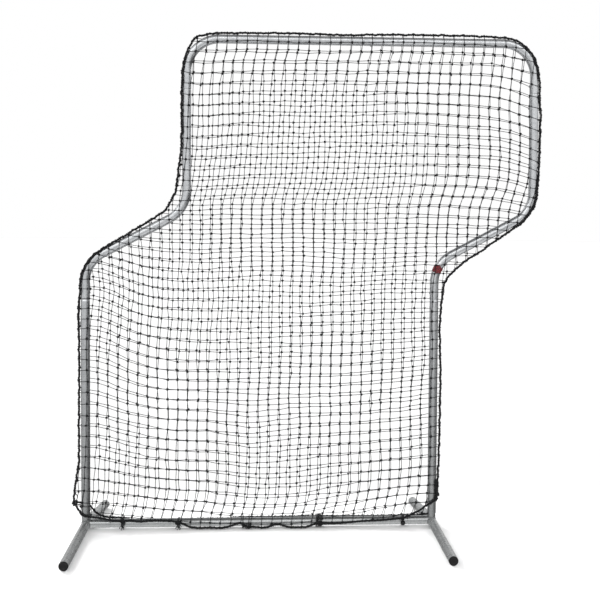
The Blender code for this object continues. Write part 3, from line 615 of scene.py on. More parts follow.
def shell_rings(line, end, spigot, square_to):
    """Rings of a tube's closed shell. Headings come from the line, so that the bore turns the right way."""
    points, radius, s = tube_skin(line, end, spigot)
    t = unit(placed_at(headings(line), run_length(line), s))
    n = np.broadcast_to(np.asarray(square_to, float), t.shape)
    b = np.cross(t, n)
    a = (np.arange(TUBE_SIDES) + 0.5) * 2 * np.pi / TUBE_SIDES
    around = np.cos(a)[:, None] * n[:, None] + np.sin(a)[:, None] * b[:, None]
    return points[:, None] + radius[:, None, None] * around, s


def make_tube(name, corners, radii, square_to, spigot=False):
    """One tube of the frame, in place of its CAD node. Its line runs on past the last corner for the
    spigot."""
    corners = np.array(corners, float)
    run_on = unit(corners[-1] - corners[-2]) * (SWAGE_TAPER + SPIGOT_LENGTH + 0.01)
    line = bent(list(corners[:-1]) + [corners[-1] + run_on], radii, BEND_STEP)
    end = run_length(line)[-1] - np.linalg.norm(run_on)
    rings, s = shell_rings(line, end, spigot, square_to)
    skin = Skin()
    skin.add(rings, along=s, closed=True, around=2 * math.pi * TUBE_R)
    return skin.piece(name + "_skin", finish("steel"), "galvanised", stands_for=(name,), crease=38.0)


def frame_tubes():
    """The seven tubes of the frame, without the foot tubes, by CAD name."""
    y = FRAME_Y
    square = (0.0, 1.0, 0.0)
    tubes = {}

    def tube(name, corners, bends, spigot=True):
        """A tube with so many bends, kept under its name."""
        tubes[name] = make_tube(name, corners, [BEND_RADIUS] * bends, square, spigot)

    rail = [(LOWER_LEFT + RAIL_INSET, y, RAIL_Z), (LOWER_RIGHT - RAIL_INSET, y, RAIL_Z)]
    tube("bottom_rail", rail, 0, False)
    low = LOWER_JOINT + SWAGE_TAPER + SEAT_GAP
    high = UPPER_JOINT + SWAGE_TAPER + SEAT_GAP
    for side, x, x_up in (("left", LOWER_LEFT, UPPER_LEFT), ("right", LOWER_RIGHT, UPPER_RIGHT)):
        tube(side + "_lower_upright", [(x, y, FOOT_Z + STUB_END), (x, y, LOWER_JOINT)], 0)
        tube(side + "_shoulder_tube",
             [(x, y, low), (x, y, SLANT_LOW), (x_up, y, SLANT_HIGH), (x_up, y, UPPER_JOINT)], 2)
    middle = (UPPER_LEFT + UPPER_RIGHT) / 2
    seam = middle + SWAGE_TAPER + SEAT_GAP
    tube("top_left_tube", [(UPPER_LEFT, y, high), (UPPER_LEFT, y, TOP_Z), (middle, y, TOP_Z)], 1)
    tube("top_right_tube", [(UPPER_RIGHT, y, high), (UPPER_RIGHT, y, TOP_Z), (seam, y, TOP_Z)], 1, False)
    return tubes


# Feet: foot tubes, stubs, weld beads and end plugs


def foot_corners(x, inward):
    """Corner points of a foot tube's axis, front end first; inward is +1 or -1 along X."""
    front = np.array((x, FRAME_Y - FRONT_REACH + PLUG_HEAD + SEAT_GAP, FOOT_Z))
    turn = np.array((x, FRAME_Y + TOE_IN_START, FOOT_Z))
    heading = np.array((inward * math.sin(REAR_TOE_IN), math.cos(REAR_TOE_IN), 0.0))
    return [front, turn, turn + heading * (REAR_RUN - PLUG_HEAD - SEAT_GAP)]


def rim_reach(radius, a, upright, clear):
    """How far from the foot tube's axis a welded tube starts, at an angle a round it.

    It starts where it meets the foot tube, at sqrt(R^2 - h^2) for a height h across that tube, or where
    the rail's stub meets the post above it.
    """
    foot = (TUBE_R + clear) ** 2
    if upright:
        return np.sqrt(np.maximum(foot - (radius * np.cos(a)) ** 2, 1e-7))
    height = RAIL_Z - FOOT_Z + radius * np.cos(a)
    on_foot = np.sqrt(np.maximum(foot - height ** 2, 0.0))
    on_post = np.sqrt(np.maximum((SPIGOT_R + clear) ** 2 - (radius * np.sin(a)) ** 2, 0.0))
    return np.maximum(on_foot, np.where(height > 0, on_post, 0.0))


def around_arm(x, inward, radius, a, reach, upright):
    """Points at a radius and angle round the post or the rail's stub, at a reach along it."""
    y = FRAME_Y + radius * np.sin(a)
    across = radius * np.cos(a)
    if upright:
        return np.stack((x + across, y, FOOT_Z + reach), axis=-1)
    return np.stack((x + inward * reach, y, RAIL_Z + across), axis=-1)


# Post and rail stub, up the outside and down the bore: (distance from the foot tube's axis, radius)
POST_TIP = STUB_END + SEAT_GAP + SPIGOT_LENGTH
NECK = RAIL_STUB + SWAGE_TAPER
RAIL_TIP = NECK + SPIGOT_LENGTH
SPIGOT_BORE = SPIGOT_R - TUBE_WALL
POST_PROFILE = (
    (0.0, SPIGOT_R), (0.03, SPIGOT_R), (POST_TIP - TIP_ROUND, SPIGOT_R), (POST_TIP, SPIGOT_R - 0.0005),
    (POST_TIP, SPIGOT_BORE), (0.03, SPIGOT_BORE), (0.0, SPIGOT_BORE),
)
STUB_PROFILE = (
    (0.0, TUBE_R), (0.03, TUBE_R), (0.06, TUBE_R), (RAIL_STUB, TUBE_R), (RAIL_STUB + 0.001, TUBE_R - 0.0003),
    (NECK - 0.001, SPIGOT_R + 0.0003), (NECK, SPIGOT_R), (RAIL_TIP - TIP_ROUND, SPIGOT_R),
    (RAIL_TIP, SPIGOT_R - 0.0005), (RAIL_TIP, SPIGOT_BORE), (NECK, SPIGOT_BORE), (RAIL_STUB, BORE_R),
    (0.03, BORE_R), (0.0, BORE_R),
)
# Weld beads: how far they stand off the rim, their radius, and the size and length of their ripples
BEAD_OFF = 0.0007
BEAD_R = 0.0019
RIPPLE = 0.0003
RIPPLE_PITCH = 0.0031


def stub_skin(x, inward, upright):
    """Rings of a post or a rail stub whose rim is cut to sit on the foot tube, and their distances."""
    a = (np.arange(TUBE_SIDES) + 0.5) * 2 * np.pi / TUBE_SIDES
    reach, radius = (column[:, None] for column in np.array(POST_PROFILE if upright else STUB_PROFILE).T)
    start = rim_reach(radius, a, upright, SEAT_GAP)
    rings = around_arm(x, inward, radius, a, np.maximum(reach, start), upright)
    return rings, reach[:, 0]


def weld_line(x, inward, upright):
    """The seam where a post or a rail stub meets the foot tube, as a closed line of points."""
    a = np.linspace(0, 2 * np.pi, 140, endpoint=False)
    radius = (SPIGOT_R if upright else TUBE_R) + BEAD_OFF
    return around_arm(x, inward, radius, a, rim_reach(radius, a, upright, 0.0006), upright)


def turned(profile, start, heading, sides=48):
    """Rings of a turned piece from (distance along the heading, radius) pairs."""
    d, r = np.array(profile, float).T
    heading = unit(np.array(heading, float))
    n = unit(np.cross(heading, (0.0, 0.0, 1.0) if abs(heading[2]) < 0.9 else (1.0, 0.0, 0.0)))
    b = np.cross(heading, n)
    a = np.arange(sides) * 2 * np.pi / sides
    around = np.cos(a)[:, None] * n + np.sin(a)[:, None] * b
    return (np.asarray(start) + d[:, None] * heading)[:, None] + r[:, None, None] * around


# End plug, from its domed face into the tube, over two ribs and back up its bore: (depth, radius)
PLUG_FACE = 0.0043
PLUG_PROFILE = (
    (0.0007 - PLUG_FACE, 0.0035), (0.0007 - PLUG_FACE, 0.0120), (0.0001 - PLUG_FACE, 0.0128),
    (-PLUG_FACE, 0.0140), (0.0002 - PLUG_FACE, PLUG_R - 0.0022), (0.0008 - PLUG_FACE, PLUG_R - 0.0009),
    (0.0016 - PLUG_FACE, PLUG_R - 0.0002), (0.0026 - PLUG_FACE, PLUG_R), (-SEAT_GAP, PLUG_R),
    (-SEAT_GAP, BORE_R - 0.0004), (0.0050, BORE_R - 0.0004), (0.0056, BORE_R - 0.0010),
    (0.0062, BORE_R - 0.0004), (0.0100, BORE_R - 0.0005), (0.0106, BORE_R - 0.0011),
    (0.0112, BORE_R - 0.0005), (0.0174, BORE_R - 0.0009), (0.0180, BORE_R - 0.0015),
    (0.0180, BORE_R - 0.0028), (0.0010, BORE_R - 0.0028), (0.0010, 0.0035),
)


def feet():
    """Foot tubes, their stubs with weld beads, and the plugs in their ends."""
    tubes = {}
    for side, x, inward in (("left", LOWER_LEFT, 1), ("right", LOWER_RIGHT, -1)):
        name = side + "_foot_tube"
        corners = foot_corners(x, inward)
        tubes[name] = make_tube(name, corners, [BEND_RADIUS], (0.0, 0.0, 1.0))
        beads = Skin()
        for kind, upright in (("_foot_post", True), ("_rail_stub", False)):
            rings, reach = stub_skin(x, inward, upright)
            if not upright and inward < 0:
                # Its angle runs the other way round, so the ring is turned for its faces to point out
                rings = rings[:, ::-1]
            skin = Skin()
            skin.add(rings, along=reach, closed=True, around=2 * math.pi * TUBE_R)
            node = side + kind
            tubes[node] = skin.piece(node + "_skin", finish("steel"), "galvanised", stands_for=(node,),
                                     crease=38.0)
            seam = weld_line(x, inward, upright)
            s = run_length(seam)
            radius = BEAD_R + RIPPLE * np.cos(2 * np.pi * s / RIPPLE_PITCH) + wander(s, 0.02, RIPPLE, 5)
            square = (0.0, 0.0, 1.0) if upright else (float(inward), 0.0, 0.0)
            beads.add(swept(seam, radius, 10, square, closed=True), along=s, closed=True)
        beads.piece(side + "_weld_beads", finish("weld"), "galvanised", crease=80.0)
        for end, at, ahead in (("front", corners[0], corners[1]), ("rear", corners[2], corners[1])):
            plug = Skin()
            plug.add(turned(PLUG_PROFILE, at, ahead - at, 56))
            node = side + "_" + end + "_plug"
            plug.piece(node + "_cap", finish("plastic"), "plug", stands_for=(node,), crease=40.0)
    return tubes


# Snap buttons

BUTTON_R = 0.004
BUTTON_TIP = TUBE_R + 0.003
HOLE_R = BUTTON_R + 0.0003
BUTTON_PLACE = 0.030
# Button from its domed tip down, as (depth below the tip, radius), and on to its flange and root, as
# (height above the root, radius)
BUTTON_DOME = ((0.0, 0.0004), (0.0001, 0.0012), (0.0004, 0.0024), (0.0010, 0.0033), (0.0018, 0.0038),
               (0.0028, BUTTON_R))
BUTTON_FLANGE = ((0.0024, BUTTON_R), (0.0021, 0.0055), (0.0009, 0.0055), (0.0008, 0.0010))
# The arm that carries it: its two ends along the tube, half its width and half its thickness
ARM_ENDS = (0.0033, -0.018)
ARM_HALF = (0.003, 0.0004)


def slip_joints():
    """Each joint: name, point on the axis at the button, way out, spigot direction, outer and inner tube."""
    y = FRAME_Y
    at = SWAGE_TAPER + BUTTON_PLACE
    up = (0, 0, 1)
    rail = "bottom_rail"
    joints = []
    sides = (("left", LOWER_LEFT, UPPER_LEFT, 1), ("right", LOWER_RIGHT, UPPER_RIGHT, -1))
    for side, x, x_up, inward in sides:
        in_x = (inward, 0, 0)
        post, stub = side + "_foot_post", side + "_rail_stub"
        lower, shoulder, top = side + "_lower_upright", side + "_shoulder_tube", f"top_{side}_tube"
        joints += [
            (side + "_post", (x, y, FOOT_Z + STUB_END + BUTTON_PLACE), in_x, up, lower, post),
            (side + "_rail", (x + inward * (RAIL_STUB + at), y, RAIL_Z), (0, 1, 0), in_x, rail, stub),
            (side + "_lower", (x, y, LOWER_JOINT + at), in_x, up, shoulder, lower),
            (side + "_upper", (x_up, y, UPPER_JOINT + at), in_x, up, top, shoulder),
        ]
    middle = (UPPER_LEFT + UPPER_RIGHT) / 2
    joints.append(("top", (middle + at, y, TOP_Z), (0, 0, -1), (1, 0, 0), "top_right_tube", "top_left_tube"))
    return joints


def drill(item, holes):
    """Cut round holes through one wall of a tube, and keep the result as its mesh.

    Each cutter is a rod from 4 mm off the tube's axis to 3 mm past the button's tip.
    """
    for point, out in holes:
        cutter = Skin()
        cutter.add(turned(((0.004, HOLE_R), (BUTTON_TIP + 0.003, HOLE_R)), point, out, 24))
        tool = cutter.piece("hole_cutter", finish("steel"), "galvanised")
        mod = item.modifiers.new("hole", "BOOLEAN")
        mod.operation = "DIFFERENCE"
        mod.solver = "EXACT"
        mod.object = tool
        bpy.context.view_layer.update()
        cut = bpy.data.meshes.new_from_object(item.evaluated_get(bpy.context.evaluated_depsgraph_get()))
        item.modifiers.clear()
        old = item.data
        item.data = cut
        bpy.data.meshes.remove(old)
        bpy.data.objects.remove(tool, do_unlink=True)


def button_skin(name, point, out, along):
    """A turned button between the depths of its CAD node, and the flat arm under it."""
    root, reach = sorted(abs((np.array(corner) - point) @ out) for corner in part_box(name))
    profile = [(reach - depth, radius) for depth, radius in BUTTON_DOME]
    profile += [(root + height, radius) for height, radius in BUTTON_FLANGE]
    skin = Skin()
    skin.add(turned(profile, point, out, 28)[:, ::-1])
    arm = np.array(ARM_ENDS)[:, None] * along + point + out * (root + ARM_HALF[1])
    corner = np.array([(-1, -1), (1, -1), (1, 1), (-1, 1)]) * ARM_HALF
    skin.add(arm[:, None] + corner[:, :1] * np.cross(out, along) + corner[:, 1:] * out)
    return skin


def snap_buttons(tubes):
    """Holes in both tubes of each slip joint, and a turned button on its spring arm in each."""
    joints = slip_joints()
    for name, tube in tubes.items():
        drill(tube, [(point, out) for _, point, out, _, outer, inner in joints if name in (outer, inner)])
    for name, *place, _, _ in joints:
        node = name + "_button"
        point, out, along = np.array(place, float)
        skin = button_skin(node, point, out, along)
        skin.piece(node + "_turned", finish("spring"), "spring_steel", body=name + "_catch",
                   stands_for=(node,), crease=40.0)
        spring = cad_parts[name + "_spring"]
        spring.data.materials.clear()
        spring.data.materials.append(finish("spring"))


# Ropes

ROPE_STEP = 0.0022
# Radius round one ring of a rope: three strands, each a lobe of four corners
STRAND = np.tile((0.74, 0.93, 1.0, 0.93), 3)
# A rope's cut end narrows to this share over this length
END_SHARE = 0.65
END_LENGTH = 0.004
# Heights of the edge rope's lower ends, left and right, and its step
EDGE_ROPE_ENDS = (0.10, 0.128)
EDGE_ROPE_STEP = 0.004


def least_along(points, closed=False):
    """The world axis that a line follows least, to set its rings by."""
    return np.eye(3)[np.abs(headings(points, closed)).mean(0).argmin()]


def laid_rope(skin, line, radius, lay):
    """A rope of three strands: each ring has three lobes, and turns once in every lay length."""
    points = evened(line, ROPE_STEP)
    s = run_length(points)
    ends = END_SHARE + (1 - END_SHARE) * smoothstep(np.minimum(s, s[-1] - s) / END_LENGTH)
    turn = 2 * np.pi * s / lay
    skin.add(swept(points, radius * ends, len(STRAND), least_along(points), turn, STRAND), along=s)


def edge_rope_line():
    """Points of the edge rope from its lower left to its lower right end."""
    start, end = EDGE_ROPE_ENDS
    s = np.arange(start - AXIS_FOOT, AXIS_S[-1] + AXIS_FOOT - end + 0.0001, EDGE_ROPE_STEP)
    u, depth = edge_rope_place(s)
    xz = off_axis(s, u)
    return np.stack((xz[:, 0], FRAME_Y + depth, xz[:, 1]), axis=1)


def beside_upright(x, angle, reach, height):
    """A point beside an upright: an angle in degrees from +X towards the rear, and a distance."""
    a = math.radians(angle)
    return (x + reach * math.cos(a), FRAME_Y + reach * math.sin(a), height)


# Front hem rope between the uprights: (x, height), sagging between its ties. Where it sags below
# HEM_LOW it also hangs forward, by twice as much.
HEM_LOW = 0.0155
FRONT_SAG = (
    (-0.9401, 0.0576), (-0.9060, 0.0528), (-0.8549, 0.0420), (-0.8164, 0.0405), (-0.7779, 0.0415),
    (-0.7351, 0.0360), (-0.6923, 0.0400), (-0.6494, 0.0400), (-0.5978, 0.0363), (-0.5548, 0.0250),
    (-0.5203, 0.0120), (-0.4771, 0.0086), (-0.4340, 0.0092), (-0.3821, 0.0084), (-0.3440, 0.0130),
    (-0.3042, 0.0241), (-0.2782, 0.0130), (-0.2300, 0.0092), (-0.1956, 0.0080), (-0.1400, 0.0160),
    (-0.0950, 0.0090), (-0.0518, 0.0078), (-0.0150, 0.0084), (0.0100, 0.0135), (0.0398, 0.0222),
    (0.0900, 0.0180), (0.1537, 0.0205), (0.2300, 0.0270), (0.3100, 0.0300), (0.3957, 0.0370),
    (0.4090, 0.0381), (0.4486, 0.0555), (0.4838, 0.0729), (0.5057, 0.0904),
)
HEM_STEP = 0.003


def front_hem_line():
    """The front hem rope: from a knot outside the left upright, across its front, along the rail, up
    across the right upright's front and along the edge rope's end."""
    y = FRAME_Y
    rest = y - HEM_REST
    points = [(-1.0165, y - 0.0060, 0.1140), (-0.9996, y - 0.0160, 0.0887), (-0.9911, y - 0.0135, 0.0756),
              (-0.9827, y - 0.0208, 0.0668), (-0.9670, y - 0.0245, 0.0612)]
    points += [(x, rest - 2 * max(HEM_LOW - z, 0), z) for x, z in FRONT_SAG]
    points += [(0.5260, rest - 0.0010, 0.1010), (0.5385, rest - 0.0008, 0.1085),
               (0.5497, y - 0.0222, 0.1166), (0.5555, y - 0.0188, 0.1310), (0.5540, y - 0.0190, 0.1600),
               (0.5528, y - 0.0196, 0.1850), (0.5531, y - 0.0194, 0.2080)]
    return smooth(points, HEM_STEP)


# Rear hem rope on the rail: (x, angle in degrees up from the rail's rear)
REAR_REST = (
    (-0.865, 60), (-0.830, 58), (-0.795, 34), (-0.755, 12), (-0.660, 6), (-0.600, 8), (-0.545, 18),
    (-0.460, 24), (-0.360, 24), (-0.290, 38), (-0.200, 38), (0.040, 42), (0.200, 37), (0.400, 40),
    (0.470, 42),
)


def rear_hem_line():
    """The rear hem rope: round the back of the left upright, along the rear of the rail and up behind
    the right upright."""
    left, right = LOWER_LEFT, LOWER_RIGHT
    points = [beside_upright(left, 172, 0.0420, 0.1180), beside_upright(left, 150, 0.0290, 0.1100),
              beside_upright(left, 105, 0.0250, 0.1020), beside_upright(left, 48, 0.0258, 0.0930),
              (-0.9270, FRAME_Y + 0.0200, 0.0640), (-0.8950, FRAME_Y + 0.0190, 0.0480)]
    for x, angle in REAR_REST:
        a = math.radians(angle)
        points.append((x, FRAME_Y + HEM_REST * math.cos(a), RAIL_Z + HEM_REST * math.sin(a)))
    points += [(0.5050, FRAME_Y + 0.0215, 0.0420), beside_upright(right, 112, 0.0250, 0.0450),
               beside_upright(right, 84, 0.0250, 0.0600), beside_upright(right, 66, 0.0250, 0.0860),
               beside_upright(right, 30, 0.0262, 0.1080), beside_upright(right, 10, 0.0290, 0.1180)]
    return smooth(points, HEM_STEP)


def ropes():
    """The edge rope and both hem ropes, in place of their smooth CAD solids."""
    sizes = bpy.context.scene.z_screen_sizes
    for name, line, radius in (("edge_rope", edge_rope_line(), sizes.rope),
                               ("front_hem_rope", front_hem_line(), sizes.rope),
                               ("rear_hem_rope", rear_hem_line(), sizes.rear_rope)):
        skin = Skin()
        laid_rope(skin, line, radius, sizes.rope_lay)
        skin.piece(name + "_laid", finish("rope"), "rope", stands_for=(name,), crease=80.0)


# Net

NET_PITCH = 0.04403
FIRST_ROW = 0.0340
# Numbers of the upright twines and of the rows, with some to spare beyond the ropes
COLUMNS = np.arange(-4, 49)
ROWS = np.arange(-3, 51)
# How far a knot strays from its place
KNOT_SCATTER = 0.0013
# Where some of the upright twines hang: (number, x)
COLUMN_MARKS = ((-4, -1.1300), (0, -0.9600), (14, -0.3602), (24, 0.0823), (34, 0.5277), (48, 1.1450))
# How the rows are pulled towards the corners: centre (x, z), reach (x, z), rise
ROW_PULLS = (
    ((-0.97, 0.75), (0.19, 0.62), 0.088),
    ((0.62, 0.42), (0.24, 0.50), 0.054),
    ((-0.54, 1.80), (0.13, 0.42), -0.016),
    ((0.98, 1.75), (0.157, 0.45), -0.056),
    ((0.47, 0.03), (0.20, 0.10), 0.030),
)
# The rear layer is drawn down more in the upper right corner
REAR_PULL = ((0.93, 1.95), (0.16, 0.22), -0.021)

# How far each layer hangs to the right of its columns, in mm, from the hem to the top: a height, then
# the reading at each of the stations. Both layers lean by about one mesh in the upper section.
LEAN_STATIONS = (-0.90, -0.30, 0.30, 0.70)
FRONT_LEAN = (
    (0.04, -32, -30, -30, -30), (0.10, -20, -13, -16, -16), (0.16, -15, -5, -9, -9),
    (0.30, -10, -4, -4, 0), (0.56, 1, 0, 1, 0), (0.78, -6, 0, 4, 4), (0.95, 8, 0, 2, 2),
    (1.05, 10, -1, 0, 0), (1.10, 3, 4, 5, 5), (1.16, 8, 10, 12, 12), (1.30, 9, 10, 15, 16),
    (1.39, 7, 7, 15, 24), (1.435, 9, 9, 18, 40), (1.48, 16, 16, 24, 58), (1.565, 26, 27, 30, 68),
    (1.656, 32, 37, 38, 68), (1.75, 38, 41, 44, 66), (1.88, 46, 46, 50, 65), (2.02, 60, 64, 70, 80),
    (2.08, 78, 80, 84, 90),
)
REAR_LEAN = (
    (0.04, -32, -30, -30, -30), (0.10, -12, -6, -8, -8), (0.16, 0, 5, 7, 7), (0.30, 0, 5, 11, 16),
    (0.555, -3, -1, 5, 6), (0.76, -1, 8, 17, 18), (1.03, 26, 17, 18, 18), (1.16, 15, 15, 20, 22),
    (1.28, 12, 13, 24, 28), (1.405, 15, 16, 28, 40), (1.45, 26, 27, 40, 54), (1.49, 39, 40, 52, 66),
    (1.535, 48, 49, 60, 76), (1.62, 55, 56, 65, 80), (1.80, 64, 62, 66, 76), (1.90, 65, 62, 67, 75),
    (2.03, 67, 66, 72, 78), (2.08, 78, 80, 84, 88),
)
# How far each layer's rows lie above their heights, in the same way
RISE_STATIONS = (-0.92, -0.75, -0.60, -0.45, -0.25, 0.00, 0.20, 0.45)
FRONT_RISE = (
    (0.05, 14, 12, 2, 0, -6, -8, 2, 2), (0.16, 22, 18, 2, 0, -6, -8, 5, 6),
    (0.30, 12, 2, 4, 2, 0, 4, 2, -8), (0.56, 0, 0, 0, 0, 0, 0, -3, -6), (1.05, 2, 2, 2, 0, 0, 0, 2, 4),
    (1.30, -10, -10, -10, -10, -11, -12, -10, 2), (1.43, -12, -12, -12, -12, -12, -11, -3, 6),
    (1.66, -8, -8, -8, -8, -6, -5, -4, 2), (1.88, 6, 6, 6, 4, -5, -3, 0, 6),
    (2.08, 4, 4, 4, 4, 3, 1, 0, 6),
)
REAR_RISE = (
    (0.05, 56, 50, 40, 34, 10, 8, 2, -4), (0.16, 56, 52, 40, 34, 11, 8, 2, -4),
    (0.40, 57, 54, 40, 34, 14, 8, 4, 0), (0.60, 59, 51, 36, 28, 16, 7, 5, 5),
    (0.80, 56, 44, 32, 26, 18, 9, 8, 8), (1.03, 50, 38, 28, 27, 24, 18, 14, 12),
    (1.28, 14, 14, 12, 10, 10, 12, 12, 18), (1.46, 6, 6, 6, 6, 8, 14, 15, 14),
    (1.68, 6, 6, 6, 7, 12, 16, 12, 18), (1.90, 14, 14, 14, 15, 15, 15, 20, 14),
    (2.08, 22, 22, 22, 20, 18, 12, 16, 20),
)
# How far both layers' rows lie above that, in the same way: they arch in the lower section's right half
ARCH_STATIONS = (-0.75, -0.45, -0.26, -0.07, 0.12, 0.31, 0.88)
ARCH = (
    (0.10, 0, -2, -8, -8, 12, 24, 0), (0.22, 2, -3, -10, -8, 14, 24, 0),
    (0.415, -4, 2, -16, 5, 17, 27, 0), (0.61, 0, 2, 5, 11, 14, 22, 0), (0.80, 0, 0, 5, 9, 17, 25, 0),
    (0.99, 2, 0, 5, 8, 15, 24, 0), (1.18, -2, 2, 10, 13, 5, 4, 0), (1.37, 0, 0, 0, 4, 2, -1, -9),
    (1.56, 0, 0, 0, 0, 0, 2, -8), (1.75, 0, 0, 0, 0, 2, 4, -14), (1.94, 0, 0, 0, 0, 0, 4, -6),
)
# Steps in one mesh along a twine; away from tubes and ropes only every sixth is kept
FINE = 12
# How far inside the tube's axis, and how far above the hem, all steps are kept
FINE_INSIDE = 0.030
# Corners of a knot's line, and half its width, half its height and half its depth
KNOT_CORNERS = 11
KNOT_HALF = (0.0030, 0.0029, 0.0023)
KNOT_CORD_R = 0.0022
# Hitches and lacing of thin cord round a rope
HITCH_CORNERS = 10
HITCH_CORD_R = 0.0014
HITCH_REACH = ROPE_R + 0.0008
LACING_CORD_R = 0.0010
LACING_REACH = ROPE_R + 0.0007
LACING_PITCH = 0.022


def hung(x, z, stations, readings):
    """The offset at (x, z) in metres, straight between the readings of a small table."""
    heights, *columns = np.array(readings, float).T
    offsets = np.stack([np.interp(z, heights, column) for column in columns])
    place = np.interp(x, stations, np.arange(len(stations)))
    left = np.minimum(place.astype(int), len(stations) - 2)
    low, high = (np.take_along_axis(offsets, (left + k)[None], 0)[0] for k in (0, 1))
    return (low + (high - low) * (place - left)) / 1000


def pull_at(x, z, centre, reach, rise):
    """A pull at (x, z): rise times exp(-(dx / reach)^2 - (dz / reach)^2)."""
    return rise * bell((x - centre[0]) / reach[0]) * bell((z - centre[1]) / reach[1])


def lattice(side):
    """(x, z) of every knot place of one layer, as a grid of columns by rows.

    Places on a square grid are shifted by the readings and the pulls, by a seeded scatter, and by a sway
    of 2.2 mm times sin(7.1 x + 3.3 z) and 1.6 mm times sin(17 z - 9 x).
    """
    across = np.interp(COLUMNS, *np.array(COLUMN_MARKS).T)
    x, z = np.meshgrid(across, FIRST_ROW + NET_PITCH * ROWS, indexing="ij")
    lean, rise = (FRONT_LEAN, FRONT_RISE) if side < 0 else (REAR_LEAN, REAR_RISE)
    lift = hung(x, z, RISE_STATIONS, rise) + hung(x, z, ARCH_STATIONS, ARCH)
    lift += sum(pull_at(x, z, *pull) for pull in ROW_PULLS)
    if side > 0:
        lift += pull_at(x, z, *REAR_PULL)
    z = z + lift
    x = x + hung(x, z, LEAN_STATIONS, lean)
    scatter = np.random.default_rng(40 + side).normal(0, KNOT_SCATTER, (2,) + x.shape)
    sway = 0.0022 * np.sin(7.1 * x + 3.3 * z + side) + 0.0016 * np.sin(17 * z - 9 * x)
    return np.stack((x + scatter[0] + sway, z + scatter[1] + sway), axis=-1)


def depth_at(xz, side, hem):
    """Depth of the net behind the tube axes, and which way its face looks.

    In the section across a tube, with u outwards and t towards the layer's own side, the twine lies at
    t = rest on the inside, follows the circle t = sqrt(rest^2 - u^2) over the tube, and runs straight
    from its tangent point to the edge rope. Near the hem it draws in to the hem rope.
    """
    s, u = beside_axis(xz)
    rope_u, rope_depth = edge_rope_place(s)
    rope_t = side * rope_depth
    away = np.hypot(rope_u, rope_t)
    lean = np.arctan2(rope_t, rope_u) + np.arccos(np.clip(NET_REST / away, 0, 1))
    lean = np.maximum(lean, 0.05)
    leave_u, leave_t = NET_REST * np.cos(lean), NET_REST * np.sin(lean)
    on_tube = np.sqrt(np.maximum(NET_REST ** 2 - np.maximum(u, 0) ** 2, 0))
    share = np.clip((u - leave_u) / np.maximum(rope_u - leave_u, 1e-4), 0, 1)
    t = np.where(u > leave_u, leave_t + (rope_t - leave_t) * share, on_tube)
    sag = wander(xz[:, 0] + 0.4 * xz[:, 1], 0.7, 0.0022, 21 + side)
    t = t + sag * (1 - bell(np.minimum(u, 0) / 0.12))
    near_hem = smoothstep(1 - (xz[:, 1] - hem[1](xz[:, 0])) / 0.05)
    t = t + (side * hem[0](xz[:, 0]) - t) * near_hem
    tilt = np.clip(np.maximum(u, 0) / NET_REST, 0, 0.98)
    out_xz = unit(placed_at(AXIS_N, AXIS_S, s)) * tilt[:, None]
    face = np.stack((out_xz[:, 0], side * np.sqrt(1 - tilt ** 2), out_xz[:, 1]), axis=1)
    return side * t, face


def hem_reader(line):
    """Functions of x that give the hem rope's depth behind the tube axes, and its height."""
    keep = (line[:, 0] > LOWER_LEFT - 0.028) & (line[:, 0] < LOWER_RIGHT + 0.022)
    kept = line[keep]
    kept = kept[np.argsort(kept[:, 0], kind="stable")]
    return (lambda x: np.interp(x, kept[:, 0], kept[:, 1]) - FRAME_Y,
            lambda x: np.interp(x, kept[:, 0], kept[:, 2]))


def past_edge(xz, hem):
    """How far points are past the edge rope or the hem rope; below zero inside the net."""
    s, u = beside_axis(xz)
    limit, _ = edge_rope_place(s)
    return np.maximum(u - limit, hem[1](xz[:, 0]) - xz[:, 1]), u


def cut_thread(nodes, hem):
    """The parts of a row or column of the lattice inside the ropes, as (x, z) points, closer over tubes."""
    steps = np.arange((len(nodes) - 1) * FINE + 1)
    fine = placed_at(nodes, np.arange(len(nodes)) * FINE, steps)
    past, u = past_edge(fine, hem)
    inside = past < 0
    edges = np.flatnonzero(np.diff(inside.astype(int)))
    parts = []
    for first, last in zip(edges[:-1] + 1, edges[1:]):
        if not inside[first] or last - first < FINE // 3:
            continue
        ends = []
        for a, b in ((first - 1, first), (last + 1, last)):
            share = past[a] / (past[a] - past[b])
            ends.append(fine[a] + share * (fine[b] - fine[a]))
        index = np.arange(first, last + 1)
        above = fine[index, 1] - hem[1](fine[index, 0])
        near = (u[index] > -FINE_INSIDE) | (above < FINE_INSIDE)
        kept = index[(index % (FINE // 2) == 0) | near]
        parts.append(np.concatenate(([ends[0]], fine[kept], [ends[1]])))
    return parts


def knot_shape():
    """A sheet bend as a small grid of rings: one twine's turn and a half round the other."""
    a = np.linspace(-0.2, 1.3, KNOT_CORNERS) * 2 * np.pi
    wide, high, deep = KNOT_HALF
    line = np.stack((wide * np.cos(a), np.linspace(-high, high, KNOT_CORNERS), deep * np.sin(a)), axis=1)
    return swept(line, KNOT_CORD_R, 4, (0.0, 1.0, 0.0))


def knots(skin, places, faces, seed):
    """A knot at each place, its axes turned to the net's face with a seeded twist, size and hand."""
    rng = np.random.default_rng(seed)
    shape = knot_shape()
    up = np.broadcast_to((0.0, 0.0, 1.0), faces.shape)
    across = unit(np.cross(up, faces))
    up = np.cross(faces, across)
    twist = rng.normal(0, 0.45, len(places)) + np.where(rng.random(len(places)) < 0.35, np.pi / 2, 0.0)
    c, s = np.cos(twist)[:, None], np.sin(twist)[:, None]
    basis = np.stack((across * c + up * s, up * c - across * s, faces), axis=1)
    size = rng.uniform(0.98, 1.28, len(places))[:, None, None]
    moved = shape.reshape(1, -1, 3) @ basis * size + places[:, None]
    skin.repeat(moved.reshape(len(places), *shape.shape))


